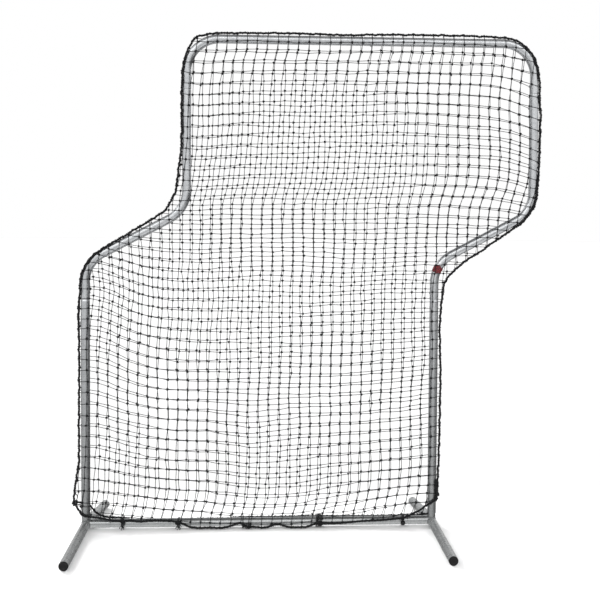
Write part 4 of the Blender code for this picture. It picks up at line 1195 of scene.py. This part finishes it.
def hitches(skin, places, directions):
    """Twine hitched round a rope: a turn and a quarter about its direction, with a little lead."""
    a = np.linspace(0, 1.25, HITCH_CORNERS) * 2 * np.pi
    ref = np.broadcast_to((0.0, 1.0, 0.0), directions.shape)
    n = unit(ref - directions * (ref * directions).sum(1, keepdims=True))
    b = np.cross(directions, n)
    lead = np.linspace(-0.0016, 0.0016, HITCH_CORNERS)
    middle = places[:, None] + lead[:, None] * directions[:, None]
    line = middle + HITCH_REACH * (np.cos(a)[:, None] * n[:, None] + np.sin(a)[:, None] * b[:, None])
    side = unit(line - middle)
    lift = np.cross(unit(np.gradient(line, axis=1)), side)
    corner = np.arange(4) * np.pi / 2
    ring = np.cos(corner)[:, None] * side[:, :, None] + np.sin(corner)[:, None] * lift[:, :, None]
    skin.repeat(line[:, :, None] + HITCH_CORD_R * ring)


def placed_net(xz, depth):
    """Points of the net from their (x, z) and their depth behind the tube axes."""
    return np.stack((xz[:, 0], FRAME_Y + depth, xz[:, 1]), axis=1)


def net_layer(name, side, hem_line):
    """One layer of net: its rows and columns of twine, a knot at every crossing, hitches at its edge."""
    grid = lattice(side)
    hem = hem_reader(hem_line)
    radius = bpy.context.scene.z_screen_sizes.twine
    twine, tied, hitched = Skin(), Skin(), []
    threads = [(grid[:, k], (0.0, 0.0, 1.0)) for k in range(grid.shape[1])]
    threads += [(grid[k], (1.0, 0.0, 0.0)) for k in range(grid.shape[0])]
    for nodes, square in threads:
        for xz in cut_thread(nodes, hem):
            points = placed_net(xz, depth_at(xz, side, hem)[0])
            twine.add(swept(points, radius, 6, square), along=run_length(points))
            hitched += [points[0], points[-1]]
    places = grid.reshape(-1, 2)
    places = places[past_edge(places, hem)[0] < -0.003]
    depth, faces = depth_at(places, side, hem)
    knots(tied, placed_net(places, depth), faces, 60 + side)
    nodes = tuple(f"{name}_net_{band}" for band in ("lower", "shoulder", "upper"))
    twine.piece(name + "_net_twine", finish("twine"), "twine", stands_for=nodes, crease=75.0)
    tied.piece(name + "_net_knots", finish("twine"), "twine", crease=100.0)
    return np.array(hitched)


def nearest_on(line, places):
    """The nearest point of a line to each place, the line's heading there and the gap."""
    k = ((places[:, None] - line[None]) ** 2).sum(2).argmin(1)
    return line[k], headings(line)[k], np.linalg.norm(places - line[k], axis=1)


def lace(skin, line):
    """Thin cord wound loosely round a rope: a helix whose pitch wanders."""
    points = evened(line, 0.0035)
    s = run_length(points)
    square = least_along(points)
    t = headings(points)
    n = unit(square - t * (t @ square)[:, None])
    a = (2 * np.pi * s / LACING_PITCH + wander(s, 0.3, 1.5, 12))[:, None]
    helix = points + LACING_REACH * (n * np.cos(a) + np.cross(t, n) * np.sin(a))
    skin.add(swept(helix, LACING_CORD_R, 5, n), along=s)


def net():
    """Both net layers, the hitches that hold them to the ropes and the lacing round the ropes."""
    edge = edge_rope_line()
    hems = {-1: front_hem_line(), 1: rear_hem_line()}
    held, lacing = Skin(), Skin()
    for name, side in (("front", -1), ("rear", 1)):
        ends = net_layer(name, side, hems[side])
        on_edge, edge_way, edge_gap = nearest_on(edge, ends)
        on_hem, hem_way, hem_gap = nearest_on(hems[side], ends)
        to_hem = (hem_gap < edge_gap)[:, None]
        hitches(held, np.where(to_hem, on_hem, on_edge), np.where(to_hem, hem_way, edge_way))
    held.piece("net_hitches", finish("twine"), "twine", crease=100.0)
    for line in (edge, hems[-1], hems[1]):
        lace(lacing, line)
    lacing.piece("rope_lacing", finish("twine"), "twine", crease=100.0)


# Ties, bungee and tape


def hull_loop(circles, clear, count=96):
    """The tight loop round circles of (a, b, radius): for each direction d, the circle with the largest
    centre . d + radius gives the point centre + (radius + clear) d."""
    a = np.linspace(0, 2 * np.pi, 720, endpoint=False)
    d = np.stack((np.cos(a), np.sin(a)), axis=1)
    c = np.array(circles)
    most = (d @ c[:, :2].T + c[:, 2]).argmax(1)
    loop = c[most, :2] + (c[most, 2] + clear)[:, None] * d
    loop = np.concatenate((loop, loop[:1]))
    lengths = run_length(loop)
    return placed_at(loop, lengths, np.linspace(0, lengths[-1], count, endpoint=False))


def knot_line(centre, size, turn):
    """An overhand knot: a trefoil (sin a + 2 sin 2a, cos a - 2 cos 2a, -sin 3a), turned and scaled."""
    a = np.linspace(0, 2 * np.pi, 90, endpoint=False)
    x = np.sin(a) + 2 * np.sin(2 * a)
    z = np.cos(a) - 2 * np.cos(2 * a)
    y = -1.3 * np.sin(3 * a)
    c, s = math.cos(turn), math.sin(turn)
    return np.asarray(centre) + size / 6 * np.stack((x * c - z * s, y, x * s + z * c), axis=1)


def cord(skin, line, radius, closed=False):
    """A braided cord of round section."""
    rings = swept(line, radius, 10, least_along(line, closed), closed=closed)
    skin.add(rings, along=run_length(line), closed=closed)


def at_x(line, x):
    """Depth and height of a left-to-right line at x."""
    kept = line[np.argsort(line[:, 0], kind="stable")]
    return np.interp(x, kept[:, 0], kept[:, 1]), np.interp(x, kept[:, 0], kept[:, 2])


def hem_circles(x):
    """The rail and both hem ropes at x, as circles that a tie goes round."""
    rings = [(FRAME_Y, RAIL_Z, TUBE_R)]
    for line in (front_hem_line(), rear_hem_line()):
        y, z = at_x(line, x)
        rings.append((y, z, ROPE_R + 0.0012))
    return rings


def tie_turns(skin, x, turns, spread, radius):
    """Turns of cord round the rail and the hem ropes, side by side and leaning a little."""
    loop = hull_loop(hem_circles(x), radius + CORD_CLEAR)
    share = np.arange(len(loop)) / len(loop)
    for k in range(turns):
        shift = (k - (turns - 1) / 2) * spread
        lean = 0.0012 * np.sin(2 * np.pi * share + k)
        line = np.stack((x + shift + lean, loop[:, 0], loop[:, 1]), axis=1)
        cord(skin, line[::-1], radius, closed=True)


def tied_knot_place(x, size, radius):
    """Just in front of the front hem rope at x, for an overhand knot of that size."""
    y, z = at_x(front_hem_line(), x)
    return np.array((x, y - ROPE_R - size * 0.19 - radius, max(z, size / 2 + radius + 0.001)))


def tail(skin, start, angle, length, radius):
    """A loose end of cord: from a knot at an angle from straight down, bowed to the front."""
    a = math.radians(angle)
    t = np.linspace(0, 1, 7)[:, None]
    down = np.array((math.sin(a), 0.0, -math.cos(a)))
    bow = np.array((0.12 * math.cos(a), -0.10, 0.05)) * length
    line = start + down * length * t + bow * np.sin(np.pi * t) + (0, -0.001, 0)
    line[:, 2] = np.maximum(line[:, 2], radius + 0.0004)
    cord(skin, smooth(line, 0.002), radius)


# Hem ties: name, x, turns and how far apart they lie, knots as (shift, size, turn), and tails as (way in
# degrees from straight down, length)
TIES = (
    ("hem_tie_1", -0.811, 2, 0.0055, ((0.0, 0.022, 0.4), (0.003, 0.017, 1.3)),
     ((-20, 0.034), (-5, 0.039), (12, 0.037), (34, 0.022))),
    ("hem_tie_2", -0.571, 2, 0.0060, ((0.0, 0.022, 0.9), (-0.005, 0.016, 0.2)),
     ((-26, 0.026), (-7, 0.037), (11, 0.038), (40, 0.022))),
    ("hem_tie_3", -0.279, 2, 0.0270, ((-0.010, 0.013, 0.4), (0.009, 0.021, 1.1)),
     ((72, 0.026), (-76, 0.016))),
    ("hem_tie_4", 0.0395, 6, 0.0046, ((0.0, 0.020, 0.2), (0.010, 0.015, 0.9)),
     ((78, 0.034), (-80, 0.034))),
)
# A knot is tied of doubled cord, and a tail has lost a part of its cord
KNOT_SHARE = 1.35
TAIL_SHARE = 0.85


def hem_ties():
    """Cord ties round the rail and the hem ropes, each with its knots and loose tails."""
    radius = bpy.context.scene.z_screen_sizes.hem_cord
    for name, x, turns, spread, knots_on, tails in TIES:
        skin = Skin()
        tie_turns(skin, x, turns, spread, radius)
        for shift, size, turn in knots_on:
            centre = tied_knot_place(x + shift, size, radius)
            cord(skin, knot_line(centre, size, turn), radius * KNOT_SHARE, closed=True)
        centre = tied_knot_place(x, 0.020, radius)
        for angle, length in tails:
            tail(skin, centre, angle, length, radius * TAIL_SHARE)
        skin.piece(name + "_cord", finish("rope"), "rope", stands_for=(name,), crease=80.0)


BUNGEE_R = 0.0017
BUNGEE_KNOT = 0.0125


def ball_bungee():
    """The bungee's doubled elastic loop round the rail, and the ball that holds it: a sphere with a
    moulding seam, where its radius grows by 1.4 % times exp(-(angle / 0.035)^2)."""
    lo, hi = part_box("bungee_loop")
    x = (lo.x + hi.x) / 2
    loop = Skin()
    tie_turns(loop, x, 2, 0.0036, BUNGEE_R)
    centre = tied_knot_place(x, BUNGEE_KNOT, BUNGEE_R)
    cord(loop, knot_line(centre, BUNGEE_KNOT, 1.1), BUNGEE_R, closed=True)
    loop.piece("bungee_elastic", finish("rope"), "rope", stands_for=("bungee_loop",), crease=80.0)
    lo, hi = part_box("bungee_ball")
    centre = (np.array(lo) + np.array(hi)) / 2
    r = (hi.z - lo.z) / 2
    a = np.linspace(0.16, np.pi - 0.16, 40)
    seam = 1 + 0.014 * bell((a - np.pi / 2) / 0.035)
    profile = np.stack((-r * np.cos(a), r * np.sin(a) * seam), axis=1)
    ball = Skin()
    ball.add(turned(profile, centre, (0.25, 0.3, 1.0), 56))
    ball.piece("bungee_ball_moulded", finish("plastic"), "ball", stands_for=("bungee_ball",), crease=40.0)


def upright_loop(skin, x, rope, height, slope, radius):
    """One turn of cord round an upright and a rope beside it, as (x, radius), sloping across the front."""
    circles = [(x, FRAME_Y, NET_REST + TWINE_R), (rope[0], FRAME_Y - 0.003, rope[1])]
    loop = hull_loop(circles, radius + CORD_CLEAR)
    line = np.stack((loop[:, 0], loop[:, 1], height + slope * (loop[:, 0] - x)), axis=1)
    cord(skin, line, radius, closed=True)


# Whipping of the rope ends at the right upright: its turns, its cord's radius, the way from one turn to the
# next, and how far before the end of the hem rope and of the edge rope it starts
WHIP_TURNS = 5
WHIP_R = 0.0013
WHIP_STEP = 2.1 * WHIP_R
HEM_WHIP = 0.082
EDGE_WHIP = 0.016


def rope_whipping(skin, line, before_end):
    """Turns of cord side by side round a rope, each a ring square to it, from so far before its end."""
    s = run_length(line)
    start = s[-1] - before_end
    way = headings(line)[np.searchsorted(s, start)]
    for k in range(WHIP_TURNS):
        place = placed_at(line, s, np.array((start + k * WHIP_STEP,)))[0]
        ring = turned(((0.0, ROPE_R + WHIP_R * 0.9),), place, way, 28)[0]
        cord(skin, ring, WHIP_R, closed=True)


# The knots at the two lower ends of the edge rope
LEFT_KNOT = np.array((-1.0165, FRAME_Y - 0.0070, 0.1160))
RIGHT_KNOT = (0.5640, FRAME_Y - 0.0150, 0.1400)


def left_corner_tie():
    """A knot, an open loop of cord above it, (a cos t, c sin 2t, b sin t), and a strand to the upright."""
    skin = Skin()
    x = LOWER_LEFT
    upright_loop(skin, x, (-1.0120, 0.0040), 0.1015, -0.10, 0.0011)
    cord(skin, knot_line(LEFT_KNOT, 0.021, 0.8), 0.0027, closed=True)
    a = np.arange(48) * 2 * np.pi / 48
    ring = np.stack((0.0075 * np.cos(a), 0.0015 * np.sin(2 * a), 0.0135 * np.sin(a)), axis=1)
    cord(skin, LEFT_KNOT + (0.0045, -0.0020, 0.0240) + ring, 0.0019, closed=True)
    strand = [LEFT_KNOT + (0.004, 0.0, -0.006), LEFT_KNOT + (0.0130, -0.0020, -0.0070),
              beside_upright(x, 205, 0.0250, 0.1080), beside_upright(x, 222, 0.0242, 0.1035),
              beside_upright(x, 236, 0.0242, 0.0985)]
    cord(skin, smooth(strand, 0.002), 0.0024)
    cord(skin, knot_line(beside_upright(x, 226, 0.0270, 0.1030), 0.011, 0.3), 0.0016, closed=True)
    skin.piece("left_corner_binding", finish("rope"), "rope", stands_for=("left_corner_tie",), crease=80.0)


def right_corner_tie():
    """A turn of cord behind the hem rope, a whipping round each rope's end, and a knot."""
    skin = Skin()
    upright_loop(skin, LOWER_RIGHT, (0.5640, 0.0052), 0.1180, 0.66, 0.0012)
    rope_whipping(skin, front_hem_line(), HEM_WHIP)
    rope_whipping(skin, edge_rope_line(), EDGE_WHIP)
    cord(skin, knot_line(RIGHT_KNOT, 0.014, 0.8), 0.0018, closed=True)
    skin.piece("right_corner_binding", finish("rope"), "rope", stands_for=("right_corner_tie",), crease=80.0)


def marker_tape():
    """Red tape wound round the right shoulder tube in its lower bend: ragged edges and creases.

    Its outside stands 1.2 mm off the tube, with creases of two sines, and thins out to its edges. Half
    its width wavers round the tube with sin 3a and sin 7a.
    """
    lo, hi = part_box("marker_band")
    place = np.array([((lo.x + hi.x) / 2, (lo.z + hi.z) / 2)])
    s0 = beside_axis(place)[0][0]
    count, sides = 26, 72
    a = np.arange(sides) * 2 * np.pi / sides
    share = np.linspace(-1, 1, count)[:, None]
    half = bpy.context.scene.z_screen_sizes.tape_width / 2
    ragged = half + 0.0022 * np.sin(3 * a + 0.7) + 0.0013 * np.sin(7 * a)
    s = s0 + share * ragged * np.where(share > 0, 1.0, 0.9) + 0.002 * np.sin(a)
    xz = placed_at(AXIS, AXIS_S, s.ravel())
    n = unit(placed_at(AXIS_N, AXIS_S, s.ravel()))
    crease = 0.0005 * np.sin(9 * a + 5 * share) + 0.0004 * np.sin(4 * a - 14 * share)
    outside = TUBE_R + 0.0012 + crease - 0.0008 * smoothstep((np.abs(share) - 0.86) / 0.14)
    skin = Skin()
    rings = []
    for radius in (outside, np.full_like(outside, TUBE_R + 0.0001)):
        r = radius.ravel()
        around_tube = np.tile(a, count)
        x = xz[:, 0] + n[:, 0] * r * np.cos(around_tube)
        z = xz[:, 1] + n[:, 1] * r * np.cos(around_tube)
        y = FRAME_Y + r * np.sin(around_tube)
        rings.append(np.stack((x, y, z), axis=1).reshape(count, sides, 3))
    skin.add(np.concatenate((rings[0], rings[1][::-1])), closed=True)
    skin.piece("marker_tape", finish("tape"), "tape", stands_for=("marker_band",), crease=60.0)


# Stage: floor, light and camera

# Radii of the paper floor's rings, and how many points each has
FLOOR_RINGS = (0.5, 2.0, 5.0, 12.0, 40.0)
FLOOR_SIDES = 96
# Suns: name, the way the light goes, its spread in degrees and its setting
SUNS = (
    ("rear_left_light", (0.50, -0.78, -0.38), 28.0, "key"),
    ("rear_right_light", (-0.55, -0.55, -0.62), 40.0, "fill"),
    ("overhead_light", (0.0, 0.1, -1.0), 110.0, "overhead"),
)
SUN_AWAY = 3.0


def paper_floor(scene):
    """Flat white paper, in rings (r cos a, r sin a, 0) round the origin."""
    a = np.arange(FLOOR_SIDES) * 2 * np.pi / FLOOR_SIDES
    radius = np.array(FLOOR_RINGS)[:, None]
    floor = np.stack((radius * np.cos(a), radius * np.sin(a), np.zeros((len(radius), FLOOR_SIDES))), axis=-1)
    index = np.arange(floor.size // 3).reshape(floor.shape[:2])
    beside = np.roll(index, -1, axis=1)
    quads = np.stack((index[:-1], index[1:], beside[1:], beside[:-1]), axis=-1).reshape(-1, 4)
    mesh = bpy.data.meshes.new("paper_floor")
    mesh.from_pydata(floor.reshape(-1, 3), [], quads.tolist() + [index[0].tolist()])
    mesh.materials.append(finish("paper"))
    item = bpy.data.objects.new("paper_floor", mesh)
    scene.collection.objects.link(item)
    item.visible_glossy = False


def suns(scene, light):
    """Soft light from both sides behind the screen and from above."""
    for name, way, spread, setting in SUNS:
        data = bpy.data.lights.new(name, "SUN")
        data.energy = getattr(light, setting)
        data.angle = math.radians(spread)
        lamp = bpy.data.objects.new(name, data)
        scene.collection.objects.link(lamp)
        lamp.visible_glossy = False
        lamp.location = [-SUN_AWAY * v for v in way]
        lamp.rotation_mode = "QUATERNION"
        lamp.rotation_quaternion = Vector(way).to_track_quat("-Z", "Y")


def surround(scene, brightness):
    """The studio: a pale wall and a long softbox in front, darker to the right, overhead and behind.

    The screen stands against plain white, which only the camera sees.
    """
    world = bpy.data.worlds.new("studio")
    world.use_nodes = True
    tree = world.node_tree
    tree.nodes.clear()
    way = add(tree, SPLIT, Vector=add(tree, COORDS).outputs["Generated"])
    x, y, z = (add(tree, RANGE, Value=way.outputs[k], From_Min=-1.0) for k in "XYZ")
    by_height = add(tree, RAMP, Fac=z, stops=(
        (0.00, "#a8a8a8"), (0.20, "#a4a4a4"), (0.36, "#808080"), (0.44, "#8a8a8a"), (0.52, "#b2b2b2"),
        (0.62, "#acacac"), (0.705, "#949494"), (0.73, "#ffffff"), (0.79, "#ffffff"), (0.825, "#8c8c8c"),
        (0.93, "#686868"), (1.00, "#545454")))
    by_depth = add(tree, RAMP, Fac=y, stops=(
        (0.50, "#ffffff"), (0.60, "#f2f2f2"), (0.72, "#d0d0d0"), (0.90, "#d0d0d0")))
    # The dark right side starts further left below the horizon, and further right just above it
    low = add(tree, RAMP, Fac=z, stops=(
        (0.28, "#000000"), (0.36, "#888888"), (0.46, "#888888"), (0.50, "#000000")))
    high = add(tree, RAMP, Fac=z, stops=(
        (0.50, "#000000"), (0.52, "#8a8a8a"), (0.56, "#8a8a8a"), (0.60, "#000000")))
    lower = add(tree, MATH, operation="ADD", _0=x, _1=low)
    shifted = add(tree, MATH, operation="SUBTRACT", _0=lower, _1=high)
    by_side = add(tree, RAMP, Fac=shifted, stops=(
        (0.00, "#e4e4e4"), (0.15, "#ffffff"), (0.80, "#ffffff"), (0.93, "#e0e0e0"), (0.99, "#8c8c8c"),
        (1.00, "#8c8c8c")))
    room = add(tree, MIX, data_type="RGBA", blend_type="MULTIPLY", Factor=1.0, A=by_height, B=by_depth)
    room = add(tree, MIX, data_type="RGBA", blend_type="MULTIPLY", Factor=1.0, A=room, B=by_side)
    lit = add(tree, "ShaderNodeBackground", Color=room, Strength=brightness)
    plain = add(tree, "ShaderNodeBackground", Color=(1.0, 1.0, 1.0, 1.0), Strength=1.0)
    seen = add(tree, "ShaderNodeLightPath").outputs["Is Camera Ray"]
    either = add(tree, "ShaderNodeMixShader", _0=seen, _1=lit, _2=plain)
    add(tree, "ShaderNodeOutputWorld", Surface=either)
    scene.world = world


# The camera stands where the photograph was taken: place, turns in degrees, lens in millimetres and the
# shift of its picture in pixels of the photograph
CAMERA_PLACE = (-0.231, FRAME_Y - 4.892, 1.409)
CAMERA_YAW, CAMERA_PITCH, CAMERA_ROLL = 3.812, 2.587, 0.423
CAMERA_LENS = 67.75
PHOTO_WIDTH = 600
SHIFT_PIXELS = (-33.2, -44.1)


def camera(scene):
    """The camera: right, up and back axes from its yaw, pitch and roll."""
    yaw, pitch, roll = (math.radians(v) for v in (CAMERA_YAW, CAMERA_PITCH, CAMERA_ROLL))
    ahead = np.array((math.sin(yaw) * math.cos(pitch), math.cos(yaw) * math.cos(pitch), -math.sin(pitch)))
    level = np.array((math.cos(yaw), -math.sin(yaw), 0.0))
    rise = np.cross(level, ahead)
    right = math.cos(roll) * level + math.sin(roll) * rise
    up = -math.sin(roll) * level + math.cos(roll) * rise
    data = bpy.data.cameras.new("camera")
    data.lens = CAMERA_LENS
    data.shift_x, data.shift_y = (pixels / PHOTO_WIDTH for pixels in SHIFT_PIXELS)
    item = bpy.data.objects.new("camera", data)
    scene.collection.objects.link(item)
    axes = Matrix((right, up, -ahead)).transposed().to_4x4()
    item.matrix_world = Matrix.Translation(CAMERA_PLACE) @ axes
    scene.camera = item


def stage():
    """White paper floor, a pale surround, soft light and the camera."""
    scene = bpy.context.scene
    light = scene.z_screen_light
    paper_floor(scene)
    surround(scene, light.surround)
    suns(scene, light)
    camera(scene)
    scene.view_settings.view_transform = "Standard"
    scene.view_settings.look = "None"


# Add-on layout


class ZScreenColours(bpy.types.PropertyGroup):
    """Colours of the screen's finishes and the brightness of its paper."""

    steel: bpy.props.FloatVectorProperty(
        name="Tubes", description="Galvanised steel where it is clean",
        subtype="COLOR", size=4, min=0.0, max=1.0, default=linear("#d6d8da"))
    steel_dull: bpy.props.FloatVectorProperty(
        name="Dull Tubes", description="Galvanised steel where it has weathered",
        subtype="COLOR", size=4, min=0.0, max=1.0, default=linear("#b8bbbe"))
    zinc: bpy.props.FloatVectorProperty(
        name="Buttons", description="Zinc plating of the snap buttons and springs",
        subtype="COLOR", size=4, min=0.0, max=1.0, default=linear("#c9ccce"))
    weld: bpy.props.FloatVectorProperty(
        name="Welds", description="Zinc paint over the welds",
        subtype="COLOR", size=4, min=0.0, max=1.0, default=linear("#9a9c9c"))
    plastic: bpy.props.FloatVectorProperty(
        name="Plugs and Ball", description="Black plastic of the plugs and the bungee's ball",
        subtype="COLOR", size=4, min=0.0, max=1.0, default=linear("#161617"))
    plastic_scuffed: bpy.props.FloatVectorProperty(
        name="Scuffed Plastic", description="The same plastic where it is scuffed",
        subtype="COLOR", size=4, min=0.0, max=1.0, default=linear("#3a3a3b"))
    # The twine's hollow colour is darkened as painted shade; its ridge colour is worn and lighter, with
    # painted sheen
    twine: bpy.props.FloatVectorProperty(
        name="Twine", description="The net's twine in its hollows",
        subtype="COLOR", size=4, min=0.0, max=1.0, default=linear("#08080a"))
    twine_wear_and_sheen: bpy.props.FloatVectorProperty(
        name="Worn Twine", description="The net's twine on its ridges",
        subtype="COLOR", size=4, min=0.0, max=1.0, default=linear("#2c2d30"))
    # The rope's hollow colour is darkened as painted shade; its ridge colour is worn and lighter, with
    # painted sheen
    rope: bpy.props.FloatVectorProperty(
        name="Rope", description="Ropes and cords in their hollows",
        subtype="COLOR", size=4, min=0.0, max=1.0, default=linear("#060607"))
    rope_wear_and_sheen: bpy.props.FloatVectorProperty(
        name="Worn Rope", description="Ropes and cords on their ridges",
        subtype="COLOR", size=4, min=0.0, max=1.0, default=linear("#26272a"))
    tape: bpy.props.FloatVectorProperty(
        name="Tape", description="The marker tape where it is clean",
        subtype="COLOR", size=4, min=0.0, max=1.0, default=linear("#a02028"))
    paper: bpy.props.FloatProperty(
        name="Paper", description="Brightness of the floor paper", default=0.9, min=0.0, max=1.0,
        subtype="FACTOR")


class ZScreenSizes(bpy.types.PropertyGroup):
    """Thickness of the twine, the ropes, the cords and the tape. Their routes stay as they are."""

    twine: bpy.props.FloatProperty(
        name="Twine", description="Radius of the net's twine",
        default=TWINE_R, min=0.0005, precision=5, unit="LENGTH")
    rope: bpy.props.FloatProperty(
        name="Rope", description="Radius of the edge rope and the front hem rope",
        default=ROPE_R, min=0.0005, precision=5, unit="LENGTH")
    rear_rope: bpy.props.FloatProperty(
        name="Rear Rope", description="Radius of the rear hem rope",
        default=REAR_ROPE_R, min=0.0005, precision=5, unit="LENGTH")
    rope_lay: bpy.props.FloatProperty(
        name="Rope Lay", description="Length of rope in which its strands turn once",
        default=ROPE_LAY, min=0.0005, precision=5, unit="LENGTH")
    hem_cord: bpy.props.FloatProperty(
        name="Hem Cord", description="Radius of the cord that ties the hem ropes to the rail",
        default=HEM_CORD_R, min=0.0005, precision=5, unit="LENGTH")
    tape_width: bpy.props.FloatProperty(
        name="Tape Width", description="Width of the marker tape along the tube",
        default=TAPE_WIDTH, min=0.0005, precision=5, unit="LENGTH")

class ZScreenLight(bpy.types.PropertyGroup):
    """Light of the studio."""

    surround: bpy.props.FloatProperty(
        name="Studio", description="Brightness of the studio around the screen", default=2.5, min=0.0)
    key: bpy.props.FloatProperty(
        name="Key", description="Light from the rear left", default=5.4, min=0.0)
    fill: bpy.props.FloatProperty(
        name="Fill", description="Light from the rear right", default=0.65, min=0.0)
    overhead: bpy.props.FloatProperty(
        name="Overhead", description="Light from straight above", default=0.9, min=0.0)


class ZSCREEN_OT_frame(bpy.types.Operator):
    """Build the tubes, feet and snap buttons"""

    bl_idname = "zscreen.frame"
    bl_label = "Frame and Buttons"

    def execute(self, context):
        tubes = frame_tubes()
        tubes.update(feet())
        snap_buttons(tubes)
        return {"FINISHED"}


class ZSCREEN_OT_ropes(bpy.types.Operator):
    """Build the edge rope and the hem ropes"""

    bl_idname = "zscreen.ropes"
    bl_label = "Ropes"

    def execute(self, context):
        ropes()
        return {"FINISHED"}


class ZSCREEN_OT_net(bpy.types.Operator):
    """Build both layers of knotted net"""

    bl_idname = "zscreen.net"
    bl_label = "Net"

    def execute(self, context):
        net()
        return {"FINISHED"}


class ZSCREEN_OT_ties(bpy.types.Operator):
    """Build the hem ties, the ball bungee and the corner ties"""

    bl_idname = "zscreen.ties"
    bl_label = "Ties"

    def execute(self, context):
        hem_ties()
        ball_bungee()
        left_corner_tie()
        right_corner_tie()
        return {"FINISHED"}


class ZSCREEN_OT_tape(bpy.types.Operator):
    """Build the red marker tape"""

    bl_idname = "zscreen.tape"
    bl_label = "Marker Tape"

    def execute(self, context):
        marker_tape()
        return {"FINISHED"}


class ZSCREEN_OT_stage(bpy.types.Operator):
    """Build the floor, the light and the camera"""

    bl_idname = "zscreen.stage"
    bl_label = "Stage"

    def execute(self, context):
        stage()
        return {"FINISHED"}


OPERATORS = (ZSCREEN_OT_frame, ZSCREEN_OT_ropes, ZSCREEN_OT_net, ZSCREEN_OT_ties, ZSCREEN_OT_tape,
             ZSCREEN_OT_stage)


class ZSCREEN_PT_panel(bpy.types.Panel):
    """The screen's settings and its pieces"""

    bl_idname = "ZSCREEN_PT_panel"
    bl_label = "Z Screen"
    bl_space_type = "VIEW_3D"
    bl_region_type = "UI"
    bl_category = "Z Screen"

    def draw(self, context):
        scene = context.scene
        for group in (scene.z_screen_colours, scene.z_screen_sizes, scene.z_screen_light):
            for name in type(group).__annotations__:
                self.layout.prop(group, name)
        for operator in OPERATORS:
            self.layout.operator(operator.bl_idname)


CLASSES = (ZScreenColours, ZScreenSizes, ZScreenLight) + OPERATORS + (ZSCREEN_PT_panel,)


def register():
    """Register the classes and the scene's three groups of settings."""
    for cls in CLASSES:
        bpy.utils.register_class(cls)
    bpy.types.Scene.z_screen_colours = bpy.props.PointerProperty(type=ZScreenColours)
    bpy.types.Scene.z_screen_sizes = bpy.props.PointerProperty(type=ZScreenSizes)
    bpy.types.Scene.z_screen_light = bpy.props.PointerProperty(type=ZScreenLight)


def unregister():
    """Undo what register did."""
    del bpy.types.Scene.z_screen_light
    del bpy.types.Scene.z_screen_sizes
    del bpy.types.Scene.z_screen_colours
    for cls in reversed(CLASSES):
        bpy.utils.unregister_class(cls)


def main():
    """Build every piece and the stage."""
    register()
    bpy.ops.zscreen.frame()
    bpy.ops.zscreen.ropes()
    bpy.ops.zscreen.net()
    bpy.ops.zscreen.ties()
    bpy.ops.zscreen.tape()
    bpy.ops.zscreen.stage()


if __name__ == "__main__":
    main()
